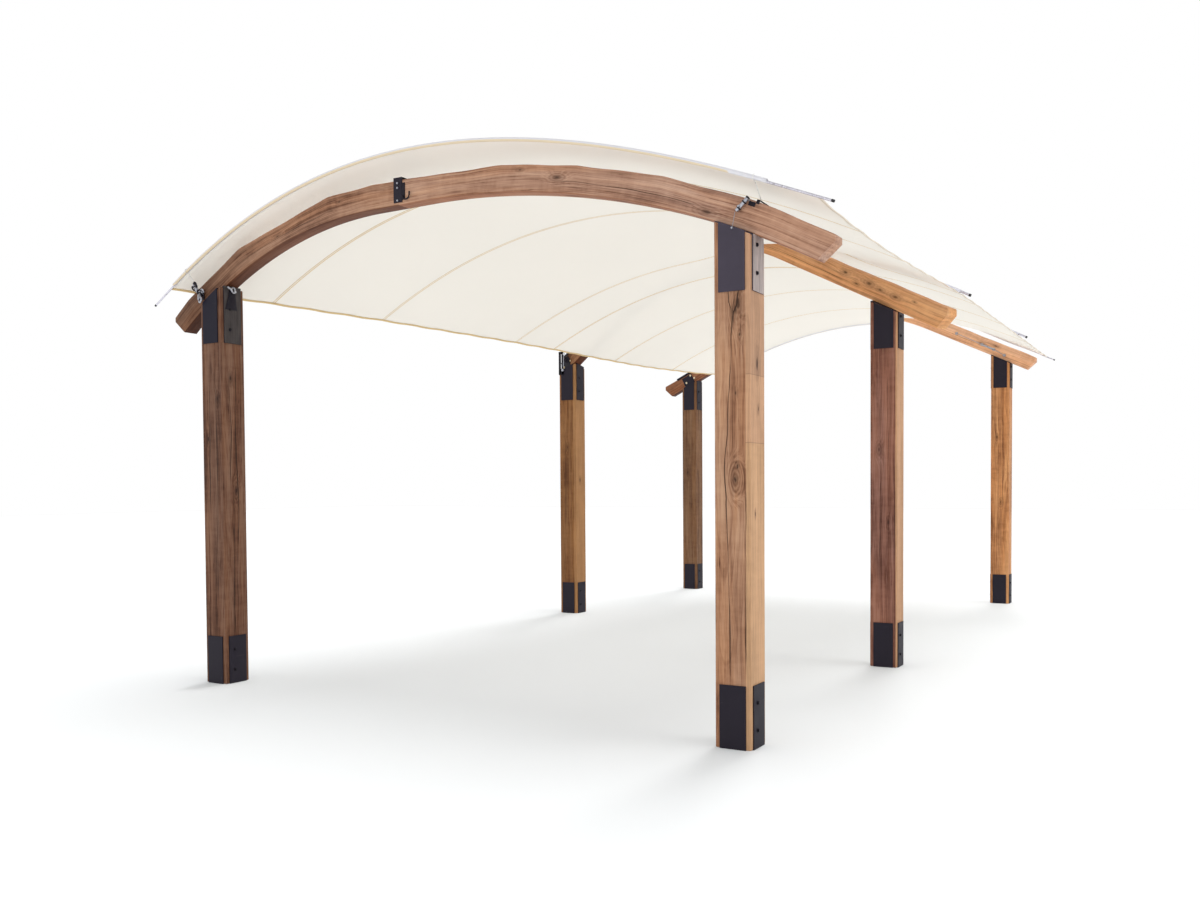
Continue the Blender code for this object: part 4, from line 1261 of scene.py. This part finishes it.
class PERGOLA_OT_fittings(bpy.types.Operator):
    """Adds the sail clamps, ears, flanges, hooks and stays at the post heads and beams"""

    bl_idname = "pergola.fittings"
    bl_label = "Sail fittings"

    # Bands over a beam's top: plate, depth of the skirts, top's height, spare width, skirts' offset and drop
    SADDLE = (0.003, 0.018, 0.0022, 0.008, 0.0030, 0.009)
    SHOE = (0.004, 0.024, 0.0024, 0.010, 0.0035, 0.010)

    def execute(self, context):
        self.black = dark_steel("fitting_steel", shade(settings().steel.skin, 0.75))
        self.bright = bright_steel("polished_fittings", (0.44, 0.45, 0.50), 0.18)
        self.pale = bright_steel("tie_rods", (0.86, 0.86, 0.84), 0.40)
        self.brass = bright_steel("yellow_passivated_bolts", (0.78, 0.66, 0.46), 0.30)
        front, middle, rear = arches()
        self.sail_clamp_right(front)
        self.sail_clamp_left(front)
        self.splice_hook(front)
        self.head_ear("front_left")
        self.beam_shoe(middle, "middle_left", (-2.010, -1.700))
        self.beam_shoe(rear, "rear_left", (-1.905, -1.640))
        self.fork_ear()
        self.stay(rear)
        return {"FINISHED"}

    def dark(self, name, work):
        finish_piece(name, work, self.black)

    def shiny(self, name, work):
        finish_piece(name, work, self.bright)

    def channel(self, work, arch, s, run, sizes):
        """A plate over the beam's top with a skirt down each side."""
        thick, skirt, rise, spare, beside, drop = sizes
        at = arch.frame_at(s, BEAM_DEPTH + rise)
        add_plate(work, (run, BEAM_WIDTH + spare, thick), at)
        for side in (-1, 1):
            add_plate(work, (run, thick, skirt), at @ Matrix.Translation((0, side * (BEAM_FACE + beside), -drop)))

    def batten_tie(self, label, arch, s):
        """The slim rod from the saddle up to an eye round the front batten."""
        foot = arch.place(s, BEAM_DEPTH + 0.003, -0.020)
        head = Vector((foot.x, -BATTEN_Y, sail_height(foot.x, -SAIL_END_Y)))
        work = bmesh.new()
        add_bar(work, foot, head - (head - foot).normalized() * 0.012, 0.0022, 12)
        add_ring(work, head, (1, 0, 0), ROD + 0.0050, 0.0020)
        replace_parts(finish_piece("batten_tie_" + label, work, self.pale), "front_standoff_" + label)

    def sail_clamp_right(self, arch):
        """Over the front right post: a clamp on the beam, tied to the batten, with its wire to the post head."""
        face_y = arch.middle.y - BEAM_FACE
        low, high = Vector((1.788, face_y - 0.016, 2.502)), Vector((1.848, face_y - 0.016, 2.556))
        work = bmesh.new()
        self.channel(work, arch, 1.835, 0.016, self.SADDLE)
        add_plate(work, (0.034, 0.004, 0.020), arch.frame_at(1.812, 0.122, -BEAM_FACE - 0.0030))
        half = (high - low).normalized() * 0.0036
        for share, radius in ((0.22, 0.0125), (0.66, 0.0120), (0.98, 0.0110)):
            middle = low.lerp(high, share)
            add_bar(work, middle - half, middle + half, radius, 18, 0.0010)
        self.dark("clamp_collars_right", work)
        self.batten_tie("right", arch, 1.835)
        work = bmesh.new()
        add_bar(work, low, high, 0.0095, 18, 0.0015)
        for bolt, out, radius in ((by(low, 0.018, 0, 0.016), 0.036, 0.0055), (by(high, 0, 0, -0.012), 0.034, 0.0050)):
            add_bar(work, (bolt.x, face_y, bolt.z), (bolt.x, face_y - out, bolt.z), radius, 6)
        low_end = Vector((1.781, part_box("head_bracket_front_right")[0].y - 0.002, 2.418))
        add_bar(work, by(low, -0.004, -0.004, -0.004), low_end, 0.0016, 8)
        add_bar(work, by(low_end, 0, 0.0022, 0), by(low_end, 0, -0.006, 0), 0.0045, 12)
        self.shiny("sail_clamp_right", work)

    def sail_clamp_left(self, arch):
        """Over the front left post: a shackle and clips on the beam's face, tied to the batten."""
        face_y = arch.middle.y - BEAM_FACE
        top = Vector((-1.945, face_y - 0.016, 2.530))
        knee = Vector((-1.905, face_y - 0.018, 2.478))
        foot = Vector((-1.856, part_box("head_bracket_front_left")[0].y - 0.010, 2.430))
        work = bmesh.new()
        self.channel(work, arch, -1.880, 0.016, self.SADDLE)
        add_ring(work, top, (0.35, 1, 0.2), 0.0200, 0.0065)
        add_ring(work, by(top, -0.018, 0.002, -0.014), (0.2, 1, 0.5), 0.0130, 0.0050)
        add_ring(work, knee, (1, 0.5, 0.3), 0.0190, 0.0065)
        add_plate(work, (0.040, 0.005, 0.060), Matrix.Translation(by(knee, 0.014, 0.011, -0.012)))
        self.dark("clamp_collars_left", work)
        self.batten_tie("left", arch, -1.880)
        work = bmesh.new()
        add_bar(work, by(top, 0.004, 0, -0.012), knee, 0.0115, 16, 0.0015)
        add_bar(work, knee, foot, 0.0110, 16, 0.0015)
        add_ring(work, by(foot, 0.008, 0, -0.004), (0.3, 1, -0.2), 0.0165, 0.0055)
        add_ring(work, by(knee, 0.030, 0, 0.010), (0.2, 1, 0.5), 0.0140, 0.0045)
        add_bar(work, by(top, 0, 0.016, 0), by(top, 0, -0.014, 0), 0.0070, 6)
        add_bar(work, by(foot, 0, 0.0102, 0), by(foot, 0, -0.010, 0), 0.0065, 6)
        self.shiny("sail_clamp_left", work)

    def splice_hook(self, arch):
        """The hinge leaf and the upturned hook on the front beam's joint, and its rivets."""
        work = bmesh.new()
        s = arch.split + 0.036
        add_plate(work, (0.020, 0.004, 0.094), arch.frame_at(s + 0.004, 0.070, -BEAM_FACE - 0.0024))
        path = (
            (0.000, 0.046), (0.006, 0.030), (0.018, 0.022), (0.034, 0.022), (0.046, 0.030), (0.050, 0.048),
            (0.050, 0.062),
        )
        sweep(work, [arch.place(s + along, above, -BEAM_FACE - 0.0090) for along, above in path], 0.0042, 10)
        self.dark("front_splice_hook", work)
        work = bmesh.new()
        for above in (0.118, 0.092, 0.022):
            spot = arch.place(arch.split, above, -BEAM_FACE - 0.0052)
            add_bar(work, spot, by(spot, 0, -0.0060, 0), 0.0055, 12, 0.0010)
        self.shiny("front_splice_rivets", work)

    def head_ear(self, place):
        """The small black ear with its shackle on the inner side of the front left head."""
        centre = middle_of("post_" + place)
        x, y, middle_z = centre.x + PLATE_FACE, centre.y - 0.012, 2.420
        work = bmesh.new()
        for vertex in add_box(work, (0.005, 0.088, 0.120), (x + 0.0027, y, middle_z), 0.0010):
            if vertex.co.z > middle_z:
                vertex.co.y = blend(vertex.co.y, y + 0.018, 0.55)
        self.dark("head_ear_" + place, work)
        work = bmesh.new()
        pin = Vector((x + 0.003, y + 0.016, 2.474))
        add_bar(work, pin, by(pin, 0.022, 0, 0), 0.0085, 14, 0.0015)
        add_ring(work, by(pin, 0.018, -0.014, 0.008), (1, 0.2, 0.1), 0.0170, 0.0050)
        add_bar(work, by(pin, 0.018, -0.030, 0.010), by(pin, 0.018, -0.056, 0.022), 0.0075, 14, 0.0015)
        self.shiny("head_shackle_" + place, work)

    def beam_shoe(self, arch, place, span):
        """The black channel along the beam's top where it crosses a left-hand head, and its bolts."""
        work = bmesh.new()
        self.channel(work, arch, sum(span) / 2, span[1] - span[0], self.SHOE)
        self.dark("beam_shoe_" + place, work)
        work = bmesh.new()
        for along, above in ((0.045, 0.100), (-0.030, 0.045), (0.075, 0.050)):
            spot = arch.frame_at(along - arch.half, above, -BEAM_FACE - 0.0068)
            add_bolt(work, spot @ Matrix.Rotation(math.pi / 2, 4, "X"), 0.0120, 0.0085, 0.0070)
        finish_piece("beam_bolts_" + place, work, self.brass)

    def fork_ear(self):
        """The tall slotted ear at the outer end of the middle left head, with its sheave."""
        centre = middle_of("post_middle_left")
        x, y = centre.x - 0.058, centre.y - POST / 2 + 0.001
        foot, head, sheave_z = 2.330, 2.550, 2.470
        work = bmesh.new()
        for offset, broad, high, z in (
            (-0.018, 0.024, head - foot, (head + foot) / 2), (0.012, 0.020, head - foot, (head + foot) / 2),
            (-0.003, 0.050, 0.022, head - 0.010), (-0.003, 0.050, 0.060, foot + 0.026),
        ):
            add_box(work, (broad, 0.006, high), (x + offset, y - 0.0120, z), 0.0012)
        sheave = add_disc(work, 0.030, 0.012, -0.006, 28, 0.0020)
        axle = Matrix.Translation((x + 0.052, y + 0.010, sheave_z)) @ Matrix.Rotation(math.pi / 2, 4, "X")
        place_all(work, sheave, axle)
        add_bar(work, (x + 0.052, y + 0.020, sheave_z), (x + 0.052, y - 0.016, sheave_z), 0.0080, 12)
        add_bar(work, (x + 0.024, y - 0.010, sheave_z), (x + 0.056, y - 0.010, sheave_z), 0.0060, 12)
        self.dark("fork_ear_middle_left", work)
        work = bmesh.new()
        add_bar(work, (x + 0.016, y - 0.022, 2.372), (x + 0.016, y + 0.004, 2.372), 0.0130, 18, 0.0020)
        add_bar(work, (x + 0.024, y - 0.016, 2.400), (x + 0.030, y - 0.016, 2.520), 0.0035, 12, 0.0010)
        add_ring(work, (x + 0.030, y - 0.016, 2.528), (0, 1, 0), 0.0100, 0.0030)
        self.shiny("fork_ear_pin", work)

    def stay(self, arch):
        """The tensioned stay along the rear beam's face, with its turnbuckle and end plates."""
        work = bmesh.new()
        places = ((1.300, 0.070), (1.560, 0.062), (1.680, 0.060), (1.790, 0.045))
        start, body, eye, end = (arch.place(s, above, -BEAM_FACE - 0.012) for s, above in places)
        add_bar(work, start, body, 0.0028, 10)
        add_bar(work, body, eye, 0.0095, 16, 0.0020)
        add_bar(work, eye, end, 0.0028, 10)
        for point in (start, end):
            add_bar(work, by(point, 0, -0.006, 0), by(point, 0, 0.0125, 0), 0.0080, 12, 0.0010)
            add_ring(work, by(point, 0, -0.001, 0), (0, 1, 0), 0.0120, 0.0032)
        for point in (body, eye):
            add_ring(work, point, (0, 1, 0), 0.0120, 0.0036)
        self.shiny("rear_beam_stay", work)


class PERGOLA_OT_stage(bpy.types.Operator):
    """Sets the pale floor, the soft studio light and the camera"""

    bl_idname = "pergola.stage"
    bl_label = "Stage"

    FLOOR = 90.0
    # Sine of the height where the sky starts to dim and of the zenith, and their strengths
    ZENITH = (0.50, 1.0, 1.0, 0.40)
    CANVAS_PIECES = ("sail_cloth", "seam_", "hem_", "batten_sleeve", "front_end_tape", "slot_hem", "rod_pocket")

    def execute(self, context):
        look = settings().stage
        work = bmesh.new()
        bmesh.ops.create_grid(work, x_segments=2, y_segments=2, size=self.FLOOR / 2)
        floor = stand("studio_floor", mesh_of("studio_floor", work, paper_floor("studio_floor", look.floor)))
        self.paint_sky()
        self.light_up(floor)
        self.stand_camera(look)
        return {"FINISHED"}

    def paint_sky(self):
        """White all round, and dimmer overhead, so that the top of the sail keeps its shape."""
        r = Recipe(bpy.data.worlds.new("studio"))
        sky = r.tree.nodes["Background"].inputs
        r.feed(sky["Color"], (1.0, 1.0, 1.0, 1.0))
        height = r.parts(r.node("ShaderNodeTexCoord", out="Generated"))[2]
        r.feed(sky["Strength"], r.step(height, *self.ZENITH, how="LINEAR"))
        bpy.context.scene.world = r.owner
        bpy.context.scene.view_settings.view_transform = "Standard"

    def light_up(self, floor):
        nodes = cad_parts
        bearers = [nodes["foot_shoe_" + place] for place in PLACES]
        bearers += [nodes["post_" + place] for place in PLACES if place != "front_left"]
        casters = self.gathered("shadow_casters", bearers)
        shade_caster = self.gathered("broad_shadow_caster", [bpy.data.objects["sail_cloth"]])
        floor_only = self.gathered("floor_only", [floor])
        pieces = [item for item in bpy.data.objects if item.type == "MESH" and item != floor]
        all_pieces = self.gathered("all_pieces", pieces)
        canvas_pieces = [item for item in pieces if item.name.startswith(self.CANVAS_PIECES)]
        sail_only = self.gathered("sail_only", canvas_pieces)
        self.soft_sun("key", (-0.09, 1.0, 1.30), 16.0, 1.05, casters, floor_only)
        self.soft_sun("side", (1.0, 0.15, 1.70), 24.0, 0.42, casters)
        self.soft_sun("broad", (0.08, 0.26, 1.0), 44.0, 1.85, shade_caster, floor_only)
        self.soft_sun("bounce", (0.10, -0.50, -1.0), 60.0, 0.79, casters, sail_only)
        self.soft_sun("form", (-0.60, 0.80, 0.70), 30.0, 0.45, None, all_pieces)

    def gathered(self, name, pieces):
        """A collection that a light's shadows, or its light, are kept to."""
        group = bpy.data.collections.new(name)
        for piece in pieces:
            group.objects.link(piece)
        return group

    def soft_sun(self, name, towards, angle, power, casters=None, lit=None):
        """A wide, far light that may take its shadows from some pieces and fall on some pieces alone."""
        light = bpy.data.lights.new(name, "SUN")
        light.angle = math.radians(angle)
        light.energy = power
        lamp = stand(name, light)
        lamp.rotation_euler = (-Vector(towards)).to_track_quat("-Z", "Y").to_euler()
        lamp.light_linking.blocker_collection = casters
        lamp.light_linking.receiver_collection = lit

    def stand_camera(self, look):
        data = bpy.data.cameras.new("photo_camera")
        data.sensor_width = 36.0
        data.lens = FOCAL_PIXELS / PHOTO_WIDE * data.sensor_width
        data.shift_x = (PHOTO_WIDE / 2 - PRINCIPAL_X) / PHOTO_WIDE
        data.shift_y = (PRINCIPAL_Y - PHOTO_HIGH / 2) / PHOTO_WIDE
        data.clip_end = 300.0
        camera = stand("photo_camera", data)
        level = Matrix.Rotation(look.heading, 4, "Z") @ Matrix.Rotation(math.pi / 2 + look.pitch, 4, "X")
        camera.matrix_world = Matrix.Translation(look.eye) @ level @ Matrix.Rotation(look.roll, 4, "Z")
        bpy.context.scene.camera = camera


class PERGOLA_PT_panel(bpy.types.Panel):
    """Lists the pergola's pieces in the sidebar"""

    bl_idname = "PERGOLA_PT_panel"
    bl_label = "Wooden pergola"
    bl_space_type = "VIEW_3D"
    bl_region_type = "UI"
    bl_category = "Pergola"

    def draw(self, context):
        for step in STEPS:
            self.layout.operator(step.bl_idname)


STEPS = (
    PERGOLA_OT_posts, PERGOLA_OT_beams, PERGOLA_OT_steelwork, PERGOLA_OT_bolts, PERGOLA_OT_sail, PERGOLA_OT_rods,
    PERGOLA_OT_fittings, PERGOLA_OT_stage,
)
CLASSES = (
    TimberSettings, SteelSettings, SailSettings, StageSettings, PergolaSettings, *STEPS, PERGOLA_PT_panel,
)


def register():
    for part in CLASSES:
        bpy.utils.register_class(part)
    bpy.types.Scene.pergola = PointerProperty(type=PergolaSettings)


def unregister():
    del bpy.types.Scene.pergola
    for part in reversed(CLASSES):
        bpy.utils.unregister_class(part)


def main():
    register()
    for step in STEPS:
        group, name = step.bl_idname.split(".")
        getattr(getattr(bpy.ops, group), name)()


if __name__ == "__main__":
    main()
